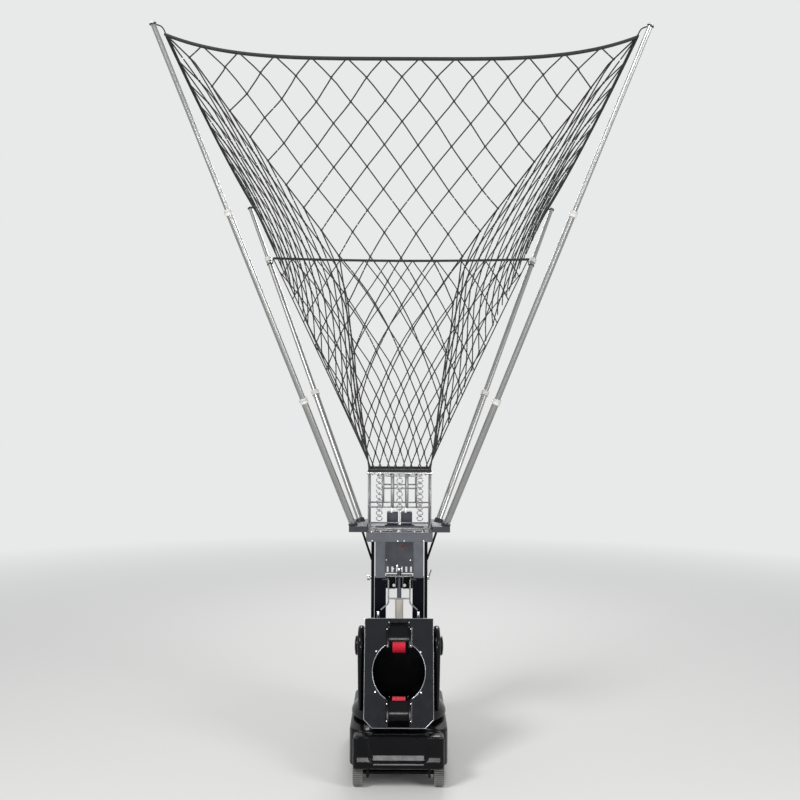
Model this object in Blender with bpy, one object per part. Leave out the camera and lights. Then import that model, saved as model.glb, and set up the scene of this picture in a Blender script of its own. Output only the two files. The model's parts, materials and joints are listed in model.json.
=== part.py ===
"""Basketball shooting machine: a wheeled launcher that feeds itself from a funnel net on four poles.

Metres, +Z up, the front faces -Y. The origin is on the floor, under the middle of the ball cage.
Each object is one real piece. A moving piece has its origin on its joint's axis.
"""

from itertools import product
from math import cos, pi, radians, sin

import bmesh
import bpy
from mathutils import Matrix, Vector

# The gap that touching pieces keep.
GAP = 0.0003

# Base: chassis, shell, bumper and the wheels that it rolls on.
BASE_HALF_WIDTH = 0.252
BASE_REAR_Y = 0.480
BASE_FRONT_Y = -0.270
BASE_SKIRT_Z = 0.060
DECK_Z = 0.245
SHELL_WALL = 0.006
SHELL_CORNER = 0.070
CHASSIS_Z = 0.100
CHASSIS_THICK = 0.006
TONGUE_HALF_WIDTH = 0.160
AXLE_RADIUS = 0.010
BUMPER_HALF_WIDTH = BASE_HALF_WIDTH - 0.026
BUMPER_FRONT_Y = -0.430
BUMPER_BOTTOM_Z = 0.109
BUMPER_TOP_Z = 0.266
BUMPER_WALL = 0.012
BUMPER_ROUND = 0.022
BUMPER_STEP_Y = -0.365
BUMPER_STEP_Z = 0.240
RECESS_TOP_HALF_WIDTH = 0.150
RECESS_BOTTOM_HALF_WIDTH = 0.115
RECESS_BOTTOM_Z = 0.128
RECESS_DEPTH = 0.005
FRONT_WHEEL_RADIUS = 0.065
FRONT_WHEEL_WIDTH = 0.050
FRONT_WHEEL_X = BASE_HALF_WIDTH - 0.0504
FRONT_WHEEL_Y = -0.343
WHEEL_ARCH_CLEARANCE = 0.008
CASTER_X = BASE_HALF_WIDTH - 0.067
CASTER_Y = 0.385
CASTER_WHEEL_RADIUS = 0.036
CASTER_WHEEL_WIDTH = 0.026
CASTER_TRAIL = 0.020
CASTER_FORK_THICK = 0.004

# Turntable and yoke: they turn about the vertical line through the origin.
PEDESTAL_RADIUS = 0.090
PEDESTAL_WALL = 0.008
TURNTABLE_LIFT = 0.005
TURNTABLE_THICK = 0.015
TURNTABLE_SLOT_Y = -0.215
TURRET_RADIUS = 0.235
TURRET_TOP_Z = 0.385
TURRET_ROUND = 0.080
ARM_INNER_X = 0.180
ARM_THICK = 0.033
ARM_TOP_RADIUS = 0.1027
ARM_FOOT_FRONT_Y = -0.130
ARM_FOOT_REAR_Y = 0.085
PIVOT_CAP_THICK = 0.0175
PIVOT_CAP_RADIUS = 0.050
PIVOT_PIN_RADIUS = 0.012
PIVOT_PIN_LENGTH = 0.020
PIVOT_Y = -0.130
PIVOT_Z = 0.643

# Head: its own frame has the tilt pivot at its origin. It leans back by HEAD_LEAN at rest.
HEAD_LEAN = radians(15.0)
PLATE_HALF_WIDTH = 0.1765
PLATE_FRONT = -0.115
PLATE_THICK = 0.006
PLATE_BOTTOM = -0.405
PLATE_TOP = 0.134
PLATE_CHAMFER = 0.042
PLATE_TOP_CHAMFER = 0.006
PLATE_FLANGE = 0.022
HOLE_CENTRE = -0.131
HOLE_HALF_WIDTH = 0.1347
HOLE_HALF_HEIGHT = 0.1505
NOTCH_HALF_WIDTH = 0.054
NOTCH_TOP = 0.116
NOTCH_MARGIN = 0.0075
LAUNCH_WHEEL_RADIUS = 0.075
LAUNCH_WHEEL_WIDTH = 0.070
LAUNCH_WHEEL_DEPTH = -0.060
LAUNCH_GAP = 0.216
LAUNCH_MIDDLE = -0.145
HOOD_CLEARANCE = 0.004
HOOD_WALL = 0.004
HOOD_HALF_WIDTH = 0.0500
CHEEK_WALL = 0.006
CHEEK_LIP = 0.012
MOTOR_RADIUS = 0.034
MOTOR_LENGTH = 0.090
HOUSING_HALF_WIDTH = 0.156
HOUSING_WALL = 0.005
HOUSING_BACK = 0.255
HOUSING_TOP = 0.100
HOUSING_FLOOR = -0.268
HOUSING_CORNER = 0.080
HOUSING_SIDE_BOTTOM = -0.250
BOSS_RADIUS = 0.028

# Tower: fixed outer tubes on the deck, inner tubes that slide in them, and the lift actuator.
TOWER_X = 0.107
TOWER_FRONT_Y = 0.245
OUTER_TUBE = 0.064
OUTER_WALL = 0.003
OUTER_TOP_Z = 0.928
INNER_TUBE = 0.056
INNER_WALL = 0.003
INNER_BOTTOM_Z = 0.560
ACTUATOR_TUBE_RADIUS = 0.0235
ACTUATOR_WALL = 0.003
ACTUATOR_TOP_Z = 0.805
ACTUATOR_ROD_RADIUS = 0.0125
ACTUATOR_ROD_BOTTOM_Z = 0.500
BRIDGE_BOTTOM_Z = 0.861
BRIDGE_TOP_Z = 0.940
BRIDGE_THICK = 0.008
BRIDGE_BOX_INNER_X = 0.020
BRIDGE_BOX_OUTER_X = 0.066
RAIL_X = 0.0593
RAIL_Y = 0.145
RAIL_RADIUS = 0.006
RAIL_BAR_Z = 0.833
RAIL_LOWEST_Z = 0.778
RAIL_FLARE_X = 0.095
RAIL_TOP_Z = 0.905

# Platform on top of the tower.
FRAME_HALF_WIDTH = 0.1738
FRAME_FRONT_Y = -0.140
FRAME_REAR_Y = 0.307
FRAME_BOTTOM_Z = 1.185
FRAME_THICK = 0.050
BALL_HOLE_HALF_WIDTH = 0.132
BALL_HOLE_FRONT_Y = -0.118
BALL_HOLE_REAR_Y = 0.132
PLATE_INNER_X = 0.172
PLATE_OUTER_X = 0.264
PLATE_REAR_Y = 0.200
PLATFORM_THICK = 0.030
PANEL_HALF_WIDTH = 0.0788
PANEL_BOTTOM_Z = 0.957
PANEL_THICK = 0.003
COMB_SLOT_HEIGHT = 0.030
COMB_SLOT_WIDTH = 0.010
COMB_SLOTS = 6
GUARD_X = 0.1585
GUARD_WALL = 0.004
GUARD_CLEARANCE = 0.0015
GUARD_BOTTOM_Z = 0.703
STAY_WIDTH = 0.018
STAY_THICK = 0.005
KNOB_Z = 0.923
KNOB_RADIUS = 0.014
KNOB_LENGTH = 0.022
LEVER_LENGTH = 0.048

# Ball cage of square rods, its hanging chains and the gate under it.
CAGE_X = 0.162
CAGE_Y = 0.129
CAGE_ROD = 0.008
CAGE_RING_LIFT = 0.0182
CAGE_TOP_Z = 1.545
CAGE_MIDDLE_Z = 1.366
CAGE_BAR_Z = 1.464
CAGE_INNER_RODS = (-0.088, -0.038, 0.038, 0.088)
CHAIN_X = (-0.106, 0.0, 0.106)
CHAIN_BEADS = (7, 5, 7)
CHAIN_PITCH = 0.0335
CHAIN_RADIUS = 0.017
CHAIN_WAIST = 0.006
CHAIN_BAR = 0.006
GATE_BLOCK_HEIGHT = 0.078
GATE_BLOCK_DEPTH = 0.055
GATE_BLOCK_INNER_X = 0.008
GATE_BLOCK_OUTER_X = 0.070
GATE_SHAFT_Y = 0.119
GATE_SHAFT_Z = 1.212
GATE_SHAFT_RADIUS = 0.006
GATE_REACH = 0.135
GATE_HALF_WIDTH = 0.040

# Poles: where they leave the platform, their lean for each metre of height, and their joints' heights.
POLE_SIDES = 12
FRONT_POLE_X = 0.243
FRONT_POLE_Y = -0.094
FRONT_POLE_OUT = 0.375
FRONT_POLE_FORWARD = 0.300
FRONT_POLE_JOINTS = (0.665, 1.558)
FRONT_POLE_HEIGHT = 2.355
REAR_POLE_X = 0.212
REAR_POLE_Y = 0.094
REAR_POLE_OUT = 0.390
REAR_POLE_BACK = 0.3783
REAR_POLE_JOINTS = (0.718, 1.532)
REAR_POLE_HEIGHT = 1.869
POLE_RADII = (0.0175, 0.0145, 0.0115)
POLE_WALL = 0.002
POLE_OVERLAP = 0.120
POLE_START = -0.014
COLLAR_LENGTH = 0.030
COLLAR_THICK = 0.005
COLLAR_GRIP = 0.020
CUP_RADIUS = 0.0235
CUP_LENGTH = 0.014
CUP_SINK = 0.012
TIP_CAP_RADIUS = 0.0135
TIP_CAP_LENGTH = 0.020

# Catch net: a funnel from the cage's top ring to the poles.
NET_COLUMNS_FRONT = 7
NET_COLUMNS_SIDE = 4
NET_COLUMNS_DROP = 1
NET_COLUMNS_REAR = 3
NET_LEVELS = 9
NET_CORD = 0.007
NET_INSET = 0.045
NET_CORNER_DROP = 0.050
NET_REAR_DROP = 0.008
NET_PULL = 0.060
NET_CORNER_PULL = 0.155
NET_FRONT_SAG = 0.090
NET_SIDE_SAG = 0.030
NET_HEM_HEIGHT = 0.012

# Cabinet, handle and controls behind the tower.
CABINET_HALF_WIDTH = 0.170
CABINET_FRONT_Y = 0.330
CABINET_REAR_Y = 0.478
CABINET_TOP_Z = 0.500
CABINET_WALL = 0.004
CABINET_REAR_WALL = 0.024
CABINET_CORNER = CABINET_WALL * 1.5
HANDLE_X = 0.130
HANDLE_Y = 0.405
HANDLE_RADIUS = 0.012
HANDLE_TOP_Z = 0.640
HANDLE_BEND = 0.050
CONTROL_Z = 0.430
SWITCH_X = -0.090
SWITCH_WIDTH = 0.022
SWITCH_HEIGHT = 0.030
SWITCH_POCKET = 0.010
SWITCH_CLEARANCE = 0.0015
BUTTON_X = 0.090
BUTTON_RADIUS = 0.017
BUTTON_STEM_RADIUS = 0.008
BUTTON_CLEARANCE = 0.001
BUTTON_STAND = 0.008
BUTTON_CAP = 0.010
DIAL_RADIUS = 0.019
DIAL_DEPTH = 0.014
INLET_Z = 0.310
INLET_WIDTH = 0.048
INLET_HEIGHT = 0.028
INLET_DEPTH = 0.005

# Colour, roughness and metallic value of each finish.
FINISHES = {
    "powder_black": ((0.030, 0.031, 0.034), 0.55, 0.0),
    "powder_grey": ((0.085, 0.088, 0.097), 0.50, 0.0),
    "gloss_black": ((0.014, 0.014, 0.016), 0.18, 0.0),
    "tube_grey": ((0.155, 0.165, 0.180), 0.38, 0.4),
    "tube_dark": ((0.040, 0.041, 0.046), 0.42, 0.2),
    "silver": ((0.72, 0.71, 0.69), 0.24, 1.0),
    "zinc": ((0.62, 0.62, 0.60), 0.35, 1.0),
    "cream": ((0.66, 0.63, 0.55), 0.40, 0.1),
    "red_rubber": ((0.72, 0.02, 0.045), 0.60, 0.0),
    "grey_rubber": ((0.19, 0.19, 0.185), 0.80, 0.0),
    "net_cord": ((0.050, 0.050, 0.052), 0.85, 0.0),
    "red_plastic": ((0.60, 0.02, 0.02), 0.35, 0.0),
    "black_plastic": ((0.020, 0.020, 0.021), 0.40, 0.0),
}

# Heights and places that follow from the sizes above.
CHASSIS_TOP_Z = CHASSIS_Z + CHASSIS_THICK
PEDESTAL_TOP_Z = DECK_Z + TURNTABLE_LIFT
TURNTABLE_Z = PEDESTAL_TOP_Z + GAP
TURNTABLE_TOP_Z = TURNTABLE_Z + TURNTABLE_THICK
ARM_OUTER_X = ARM_INNER_X + ARM_THICK
TOWER_Y = TOWER_FRONT_Y + OUTER_TUBE / 2
TOWER_REAR_Y = TOWER_FRONT_Y + OUTER_TUBE
FRAME_TOP_Z = FRAME_BOTTOM_Z + FRAME_THICK
PLATFORM_Z = FRAME_TOP_Z + GAP
PLATFORM_TOP_Z = PLATFORM_Z + PLATFORM_THICK
CAGE_FOOT_Z = FRAME_TOP_Z + GAP
HOOD_INNER = LAUNCH_WHEEL_RADIUS + HOOD_CLEARANCE
HOOD_OUTER = HOOD_INNER + HOOD_WALL
CHEEK_INNER_X = HOOD_HALF_WIDTH - CHEEK_WALL
TOP_WHEEL_Z = LAUNCH_MIDDLE + LAUNCH_GAP / 2 + LAUNCH_WHEEL_RADIUS
BOTTOM_WHEEL_Z = LAUNCH_MIDDLE - LAUNCH_GAP / 2 - LAUNCH_WHEEL_RADIUS
HEAD_FRAME = Matrix.Translation((0, PIVOT_Y, PIVOT_Z)) @ Matrix.Rotation(-HEAD_LEAN, 4, "X")


def side_name(side):
    """The word for a side: -1 is the machine's left in the front view."""
    return "left" if side < 0 else "right"


def box(low, high):
    """A mesh of a box between two corners."""
    bm = bmesh.new()
    bmesh.ops.create_cube(bm, size=1.0)
    centre = (Vector(low) + Vector(high)) / 2
    size = Vector(high) - Vector(low)
    for vert in bm.verts:
        vert.co = Vector([c * s for c, s in zip(vert.co, size)]) + centre
    return bm


def side_box(side, inner_x, outer_x, low_yz, high_yz):
    """A box on one side of the middle plane, from inner_x out to outer_x."""
    xs = sorted((side * inner_x, side * outer_x))
    return box((xs[0], *low_yz), (xs[1], *high_yz))


def rounded_box(low, high, radius, segments=2):
    """A box with all of its edges rounded."""
    bm = box(low, high)
    bmesh.ops.bevel(
        bm, geom=bm.edges[:], offset=radius, segments=segments, affect="EDGES", profile=0.5
    )
    return bm


def prism(outline, axis, low, high):
    """A closed outline in the plane across an axis, carried along it from low to high.

    For axis X the outline holds (y, z), for Y it holds (x, z), and for Z it holds (x, y).
    """
    bm = bmesh.new()
    place = {
        "X": lambda p, t: (t, p[0], p[1]),
        "Y": lambda p, t: (p[0], t, p[1]),
        "Z": lambda p, t: (p[0], p[1], t),
    }[axis]
    ends = [[bm.verts.new(place(p, t)) for p in outline] for t in (low, high)]
    count = len(outline)
    for i in range(count):
        j = (i + 1) % count
        bm.faces.new((ends[0][i], ends[0][j], ends[1][j], ends[1][i]))
    bm.faces.new(ends[0])
    bm.faces.new(ends[1])
    bmesh.ops.recalc_face_normals(bm, faces=bm.faces[:])
    return bm


def axis_frame(start, direction):
    """A frame with its Z along direction, turned so that round pieces on one line have aligned faces."""
    return Matrix.Translation(start) @ Vector(direction).to_track_quat("Z", "Y").to_matrix().to_4x4()


def turned(profile, sides, start=(0, 0, 0), direction=(0, 0, 1)):
    """A closed ring of (radius, distance) points turned round a line. A radius of 0 closes on the line."""
    bm = bmesh.new()
    rings = []
    for radius, distance in profile:
        if radius < 1e-9:
            rings.append([bm.verts.new((0, 0, distance))] * sides)
            continue
        angles = [2 * pi * i / sides for i in range(sides)]
        rings.append([bm.verts.new((radius * cos(a), radius * sin(a), distance)) for a in angles])
    for low, high in zip(rings, rings[1:] + rings[:1]):
        for i in range(sides):
            j = (i + 1) % sides
            corners = []
            for vert in (low[i], low[j], high[j], high[i]):
                if vert not in corners:
                    corners.append(vert)
            if len(corners) > 2:
                bm.faces.new(corners)
    bmesh.ops.recalc_face_normals(bm, faces=bm.faces[:])
    bm.transform(axis_frame(start, direction))
    return bm


def rod(start, end, radius, sides=8):
    """A solid round rod between two points."""
    run = Vector(end) - Vector(start)
    profile = [(0, 0), (radius, 0), (radius, run.length), (0, run.length)]
    return turned(profile, sides, start, run)


def bent_rod(points, radius, sides=8):
    """A solid round rod along a line of points, mitred at each bend."""
    bm = bmesh.new()
    path = [Vector(point) for point in points]
    runs = [(b - a).normalized() for a, b in zip(path, path[1:])]
    across = runs[0].orthogonal().normalized()
    rings = []
    for i, point in enumerate(path):
        before, after = runs[max(i - 1, 0)], runs[min(i, len(runs) - 1)]
        mitre = (before + after).normalized()
        across = (across - before * across.dot(before)).normalized()
        other = before.cross(across)
        ring = []
        for k in range(sides):
            angle = 2 * pi * k / sides
            offset = (across * cos(angle) + other * sin(angle)) * radius
            ring.append(bm.verts.new(point + offset - before * offset.dot(mitre) / before.dot(mitre)))
        across = across - after * across.dot(after)
        rings.append(ring)
    for low, high in zip(rings, rings[1:]):
        for k in range(sides):
            j = (k + 1) % sides
            bm.faces.new((low[k], low[j], high[j], high[k]))
    bm.faces.new(rings[0])
    bm.faces.new(rings[-1])
    bmesh.ops.recalc_face_normals(bm, faces=bm.faces[:])
    return bm


def square_bar(start, end, width):
    """The corners of a square bar along one axis, which reaches half its width past both points."""
    low = tuple(min(a, b) - width / 2 for a, b in zip(start, end))
    high = tuple(max(a, b) + width / 2 for a, b in zip(start, end))
    return low, high


def lattice(bars):
    """One solid from square bars that cross, made on the grid that all of their faces lie on.

    Each bar is a pair of opposite corners.
    """
    cuts = []
    for axis in range(3):
        cuts.append(sorted({round(corner[axis], 6) for bar in bars for corner in bar}))
    filled = set()
    for low, high in bars:
        spans = []
        for axis in range(3):
            first = cuts[axis].index(round(low[axis], 6))
            last = cuts[axis].index(round(high[axis], 6))
            spans.append(range(first, last))
        filled.update(product(*spans))
    bm = bmesh.new()
    verts = {}
    for cell in sorted(filled):
        for axis, step in product(range(3), (0, 1)):
            beside = list(cell)
            beside[axis] += 2 * step - 1
            if tuple(beside) in filled:
                continue
            corners = []
            for one, two in ((0, 0), (1, 0), (1, 1), (0, 1)):
                corner = list(cell)
                corner[axis] += step
                corner[(axis + 1) % 3] += one
                corner[(axis + 2) % 3] += two
                key = tuple(corner)
                if key not in verts:
                    verts[key] = bm.verts.new([cuts[a][key[a]] for a in range(3)])
                corners.append(verts[key])
            bm.faces.new(corners if step else corners[::-1])
    bmesh.ops.dissolve_limit(bm, angle_limit=radians(0.05), verts=bm.verts[:], edges=bm.edges[:])
    return bm


def arc(centre, radius, first, last, steps):
    """Points on an arc between two angles in degrees."""
    points = []
    for i in range(steps + 1):
        angle = radians(first + (last - first) * i / steps)
        points.append((centre[0] + radius * cos(angle), centre[1] + radius * sin(angle)))
    return points


def rounded_rectangle(low, high, radius, steps=4):
    """The outline of a rectangle with round corners."""
    corners = (
        ((high[0] - radius, high[1] - radius), 0),
        ((low[0] + radius, high[1] - radius), 90),
        ((low[0] + radius, low[1] + radius), 180),
        ((high[0] - radius, low[1] + radius), 270),
    )
    points = []
    for centre, angle in corners:
        points += arc(centre, radius, angle, angle + 90, steps)
    return points


def mesh_object(bm, name):
    """Puts a mesh into a new object in the scene."""
    mesh = bpy.data.meshes.new(name)
    bm.to_mesh(mesh)
    item = bpy.data.objects.new(name, mesh)
    bpy.context.scene.collection.objects.link(item)
    return item


def combine(operation, body, *others):
    """The body after a Boolean with each of the others in turn."""
    for other in others:
        host = mesh_object(body, "host")
        tool = mesh_object(other, "tool")
        step = host.modifiers.new("step", "BOOLEAN")
        step.operation = operation
        step.solver = "EXACT"
        step.object = tool
        view = bpy.context.evaluated_depsgraph_get()
        mesh = bpy.data.meshes.new_from_object(host.evaluated_get(view))
        body = bmesh.new()
        body.from_mesh(mesh)
        for item in (host, tool):
            bpy.data.objects.remove(item)
    bmesh.ops.remove_doubles(body, verts=body.verts[:], dist=0.00001)
    bmesh.ops.dissolve_limit(
        body, angle_limit=radians(0.05), verts=body.verts[:], edges=body.edges[:]
    )
    return body


def fuse(body, *others):
    """The body and the others as one solid."""
    return combine("UNION", body, *others)


def cut(body, *cutters):
    """The body without what the cutters hold."""
    return combine("DIFFERENCE", body, *cutters)


def material(name, finish):
    """A Principled material for one piece."""
    colour, roughness, metallic = FINISHES[finish]
    made = bpy.data.materials.new(name)
    made.use_nodes = True
    shader = made.node_tree.nodes["Principled BSDF"]
    shader.inputs["Base Color"].default_value = (*colour, 1.0)
    shader.inputs["Roughness"].default_value = roughness
    shader.inputs["Metallic"].default_value = metallic
    return made


def piece(name, finish, bm, origin=(0, 0, 0), smooth=False):
    """Makes the node: an object whose origin is given and whose mesh stays where it was modelled."""
    bm.transform(Matrix.Translation(-Vector(origin)))
    item = mesh_object(bm, name)
    item.location = origin
    item.data.materials.append(material(name, finish))
    if smooth:
        item.data.shade_smooth()
        item.data.set_sharp_from_angle(angle=radians(35))
    return item


def head_piece(name, finish, bm, origin=(0, 0, 0), smooth=False):
    """A node modelled in the head's own frame. The origin is given in that frame too."""
    bm.transform(HEAD_FRAME)
    return piece(name, finish, bm, HEAD_FRAME @ Vector(origin), smooth)


def make_chassis():
    """The floor pan with its axle ears and the pedestal that carries the turntable."""
    half = BASE_HALF_WIDTH - SHELL_WALL - GAP
    front = BASE_FRONT_Y + SHELL_WALL + GAP
    rear = BASE_REAR_Y - SHELL_WALL - GAP
    corner = SHELL_CORNER - SHELL_WALL - GAP
    pan = prism(
        rounded_rectangle((-half, front), (half, rear), corner), "Z", CHASSIS_Z, CHASSIS_TOP_Z
    )
    tongue = box(
        (-TONGUE_HALF_WIDTH, FRONT_WHEEL_Y - 0.030, CHASSIS_Z),
        (TONGUE_HALF_WIDTH, front + 0.080, CHASSIS_TOP_Z),
    )
    ears = []
    for side in (-1, 1):
        ears.append(
            side_box(
                side,
                TONGUE_HALF_WIDTH - 0.012,
                TONGUE_HALF_WIDTH,
                (FRONT_WHEEL_Y - 0.022, FRONT_WHEEL_RADIUS - 0.022),
                (FRONT_WHEEL_Y + 0.022, CHASSIS_Z + 0.004),
            )
        )
    pedestal = turned(
        [
            (PEDESTAL_RADIUS - PEDESTAL_WALL, CHASSIS_Z + 0.002),
            (PEDESTAL_RADIUS, CHASSIS_Z + 0.002),
            (PEDESTAL_RADIUS, PEDESTAL_TOP_Z),
            (0, PEDESTAL_TOP_Z),
            (0, PEDESTAL_TOP_Z - PEDESTAL_WALL),
            (PEDESTAL_RADIUS - PEDESTAL_WALL, PEDESTAL_TOP_Z - PEDESTAL_WALL),
        ],
        32,
    )
    well = turned(
        [
            (0, CHASSIS_Z - 0.01),
            (PEDESTAL_RADIUS - PEDESTAL_WALL, CHASSIS_Z - 0.01),
            (PEDESTAL_RADIUS - PEDESTAL_WALL, CHASSIS_TOP_Z + 0.01),
            (0, CHASSIS_TOP_Z + 0.01),
        ],
        32,
    )
    bore = rod(
        (-BASE_HALF_WIDTH, FRONT_WHEEL_Y, FRONT_WHEEL_RADIUS),
        (BASE_HALF_WIDTH, FRONT_WHEEL_Y, FRONT_WHEEL_RADIUS),
        AXLE_RADIUS + GAP,
        16,
    )
    shape = cut(fuse(cut(fuse(pan, tongue), well), *ears, pedestal), bore)
    piece("chassis", "powder_black", shape)


def make_base_shell():
    """The body cover: a shell open below, with the hole for the pedestal in its deck."""
    outer = prism(
        rounded_rectangle(
            (-BASE_HALF_WIDTH, BASE_FRONT_Y), (BASE_HALF_WIDTH, BASE_REAR_Y), SHELL_CORNER
        ),
        "Z", BASE_SKIRT_Z, DECK_Z,
    )
    top_rim = [edge for edge in outer.edges if all(v.co.z > DECK_Z - 0.001 for v in edge.verts)]
    bmesh.ops.bevel(
        outer, geom=top_rim, offset=0.012, segments=2, affect="EDGES", profile=0.5
    )
    inner = prism(
        rounded_rectangle(
            (-BASE_HALF_WIDTH + SHELL_WALL, BASE_FRONT_Y + SHELL_WALL),
            (BASE_HALF_WIDTH - SHELL_WALL, BASE_REAR_Y - SHELL_WALL),
            SHELL_CORNER - SHELL_WALL,
        ),
        "Z", BASE_SKIRT_Z - 0.01, DECK_Z - SHELL_WALL,
    )
    hole = turned(
        [(0, 0), (PEDESTAL_RADIUS + GAP, 0), (PEDESTAL_RADIUS + GAP, DECK_Z + 0.01), (0, DECK_Z + 0.01)],
        32,
    )
    tongue_slot = box(
        (-TONGUE_HALF_WIDTH - GAP, BASE_FRONT_Y - 0.01, BASE_SKIRT_Z - 0.01),
        (TONGUE_HALF_WIDTH + GAP, BASE_FRONT_Y + SHELL_WALL + 0.001, CHASSIS_TOP_Z + GAP),
    )
    piece("base_shell", "gloss_black", cut(outer, inner, hole, tongue_slot), smooth=True)


def make_bumper():
    """The glossy front bumper: a shell open behind and below, with a recessed panel in its face."""
    outer = rounded_box(
        (-BUMPER_HALF_WIDTH, BUMPER_FRONT_Y, BUMPER_BOTTOM_Z),
        (BUMPER_HALF_WIDTH, BASE_FRONT_Y - GAP, BUMPER_TOP_Z),
        BUMPER_ROUND,
        3,
    )
    inner_x = BUMPER_HALF_WIDTH - BUMPER_WALL
    inner_y = BUMPER_FRONT_Y + BUMPER_WALL
    inner = box(
        (-inner_x, inner_y, BUMPER_BOTTOM_Z - 0.01),
        (inner_x, BUMPER_STEP_Y - BUMPER_WALL, BUMPER_TOP_Z - BUMPER_WALL),
    )
    inner_rear = box(
        (-inner_x, inner_y + 0.001, BUMPER_BOTTOM_Z - 0.02),
        (inner_x, BASE_FRONT_Y + 0.01, BUMPER_STEP_Z - BUMPER_WALL),
    )
    step = box(
        (-BASE_HALF_WIDTH, BUMPER_STEP_Y, BUMPER_STEP_Z),
        (BASE_HALF_WIDTH, BASE_FRONT_Y + 0.02, BUMPER_TOP_Z + 0.02),
    )
    recess = prism(
        [
            (-RECESS_TOP_HALF_WIDTH, BUMPER_TOP_Z + 0.01),
            (-RECESS_BOTTOM_HALF_WIDTH, RECESS_BOTTOM_Z),
            (RECESS_BOTTOM_HALF_WIDTH, RECESS_BOTTOM_Z),
            (RECESS_TOP_HALF_WIDTH, BUMPER_TOP_Z + 0.01),
        ],
        "Y", BUMPER_FRONT_Y - 0.01, BUMPER_FRONT_Y + RECESS_DEPTH,
    )
    rear_trim = box(
        (-BASE_HALF_WIDTH, BASE_FRONT_Y - 0.030, BUMPER_BOTTOM_Z - 0.01),
        (BASE_HALF_WIDTH, BASE_FRONT_Y + 0.01, BUMPER_BOTTOM_Z + BUMPER_ROUND),
    )
    arches = []
    for side in (-1, 1):
        arches.append(
            rod(
                (side * (FRONT_WHEEL_X - FRONT_WHEEL_WIDTH / 2 - WHEEL_ARCH_CLEARANCE),
                 FRONT_WHEEL_Y, FRONT_WHEEL_RADIUS),
                (side * (BUMPER_HALF_WIDTH + 0.02), FRONT_WHEEL_Y, FRONT_WHEEL_RADIUS),
                FRONT_WHEEL_RADIUS + WHEEL_ARCH_CLEARANCE, 24,
            )
        )
    shape = cut(outer, inner, inner_rear, step, recess, rear_trim, *arches)
    piece("front_bumper", "gloss_black", shape, smooth=True)


def make_front_wheels():
    """The fixed axle and the two front wheels that turn on it."""
    axle_end = FRONT_WHEEL_X + FRONT_WHEEL_WIDTH / 2 + 0.002
    centre = (0, FRONT_WHEEL_Y, FRONT_WHEEL_RADIUS)
    piece(
        "front_axle", "zinc",
        rod((-axle_end, *centre[1:]), (axle_end, *centre[1:]), AXLE_RADIUS, 16),
        smooth=True,
    )
    half = FRONT_WHEEL_WIDTH / 2
    bore = AXLE_RADIUS + 0.0008
    profile = [
        (bore, -half + 0.004),
        (0.028, -half + 0.004),
        (0.034, -half + 0.010),
        (0.050, -half + 0.010),
        (0.053, -half),
        (FRONT_WHEEL_RADIUS - 0.005, -half),
        (FRONT_WHEEL_RADIUS, -half + 0.006),
        (FRONT_WHEEL_RADIUS, half - 0.006),
        (FRONT_WHEEL_RADIUS - 0.005, half),
        (0.053, half),
        (0.050, half - 0.010),
        (0.034, half - 0.010),
        (0.028, half - 0.004),
        (bore, half - 0.004),
    ]
    for side in (-1, 1):
        hub = (side * FRONT_WHEEL_X, *centre[1:])
        wheel = turned(profile, 20, hub, (1, 0, 0))
        piece(f"front_wheel_{side_name(side)}", "grey_rubber", wheel, hub, smooth=True)


def make_casters():
    """The two rear casters: a swivel fork under the chassis and a wheel in each."""
    top = CHASSIS_Z - GAP
    for side in (-1, 1):
        pivot = (side * CASTER_X, CASTER_Y, top)
        axle = (side * CASTER_X, CASTER_Y + CASTER_TRAIL, CASTER_WHEEL_RADIUS)
        inner = CASTER_WHEEL_WIDTH / 2 + 0.001
        outer = inner + CASTER_FORK_THICK
        crown_z = 2 * CASTER_WHEEL_RADIUS + 0.004
        crown = box(
            (pivot[0] - outer, CASTER_Y - 0.020, crown_z),
            (pivot[0] + outer, CASTER_Y + CASTER_TRAIL + 0.012, crown_z + 0.004),
        )
        stem = turned([(0, crown_z + 0.002), (0.020, crown_z + 0.002), (0.020, top), (0, top)], 16)
        stem.transform(Matrix.Translation((pivot[0], pivot[1], 0)))
        legs = []
        for leg_side in (-1, 1):
            xs = sorted((pivot[0] + leg_side * inner, pivot[0] + leg_side * outer))
            legs.append(
                prism(
                    [
                        (CASTER_Y - 0.014, crown_z + 0.002),
                        (axle[1] - 0.010, axle[2] - 0.010),
                        (axle[1] + 0.010, axle[2] - 0.010),
                        (axle[1] + 0.012, crown_z + 0.002),
                    ],
                    "X", xs[0], xs[1],
                )
            )
        pin = rod((pivot[0] - inner - 0.002, *axle[1:]), (pivot[0] + inner + 0.002, *axle[1:]), 0.004, 12)
        name = side_name(side)
        piece(f"caster_fork_{name}", "zinc", fuse(crown, stem, *legs, pin), pivot)
        half = CASTER_WHEEL_WIDTH / 2
        profile = [
            (0.0048, -half),
            (0.016, -half),
            (0.020, -half + 0.004),
            (CASTER_WHEEL_RADIUS - 0.004, -half),
            (CASTER_WHEEL_RADIUS, -half + 0.005),
            (CASTER_WHEEL_RADIUS, half - 0.005),
            (CASTER_WHEEL_RADIUS - 0.004, half),
            (0.020, half - 0.004),
            (0.016, half),
            (0.0048, half),
        ]
        wheel = turned(profile, 16, axle, (1, 0, 0))
        piece(f"caster_wheel_{name}", "grey_rubber", wheel, axle, smooth=True)


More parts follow.
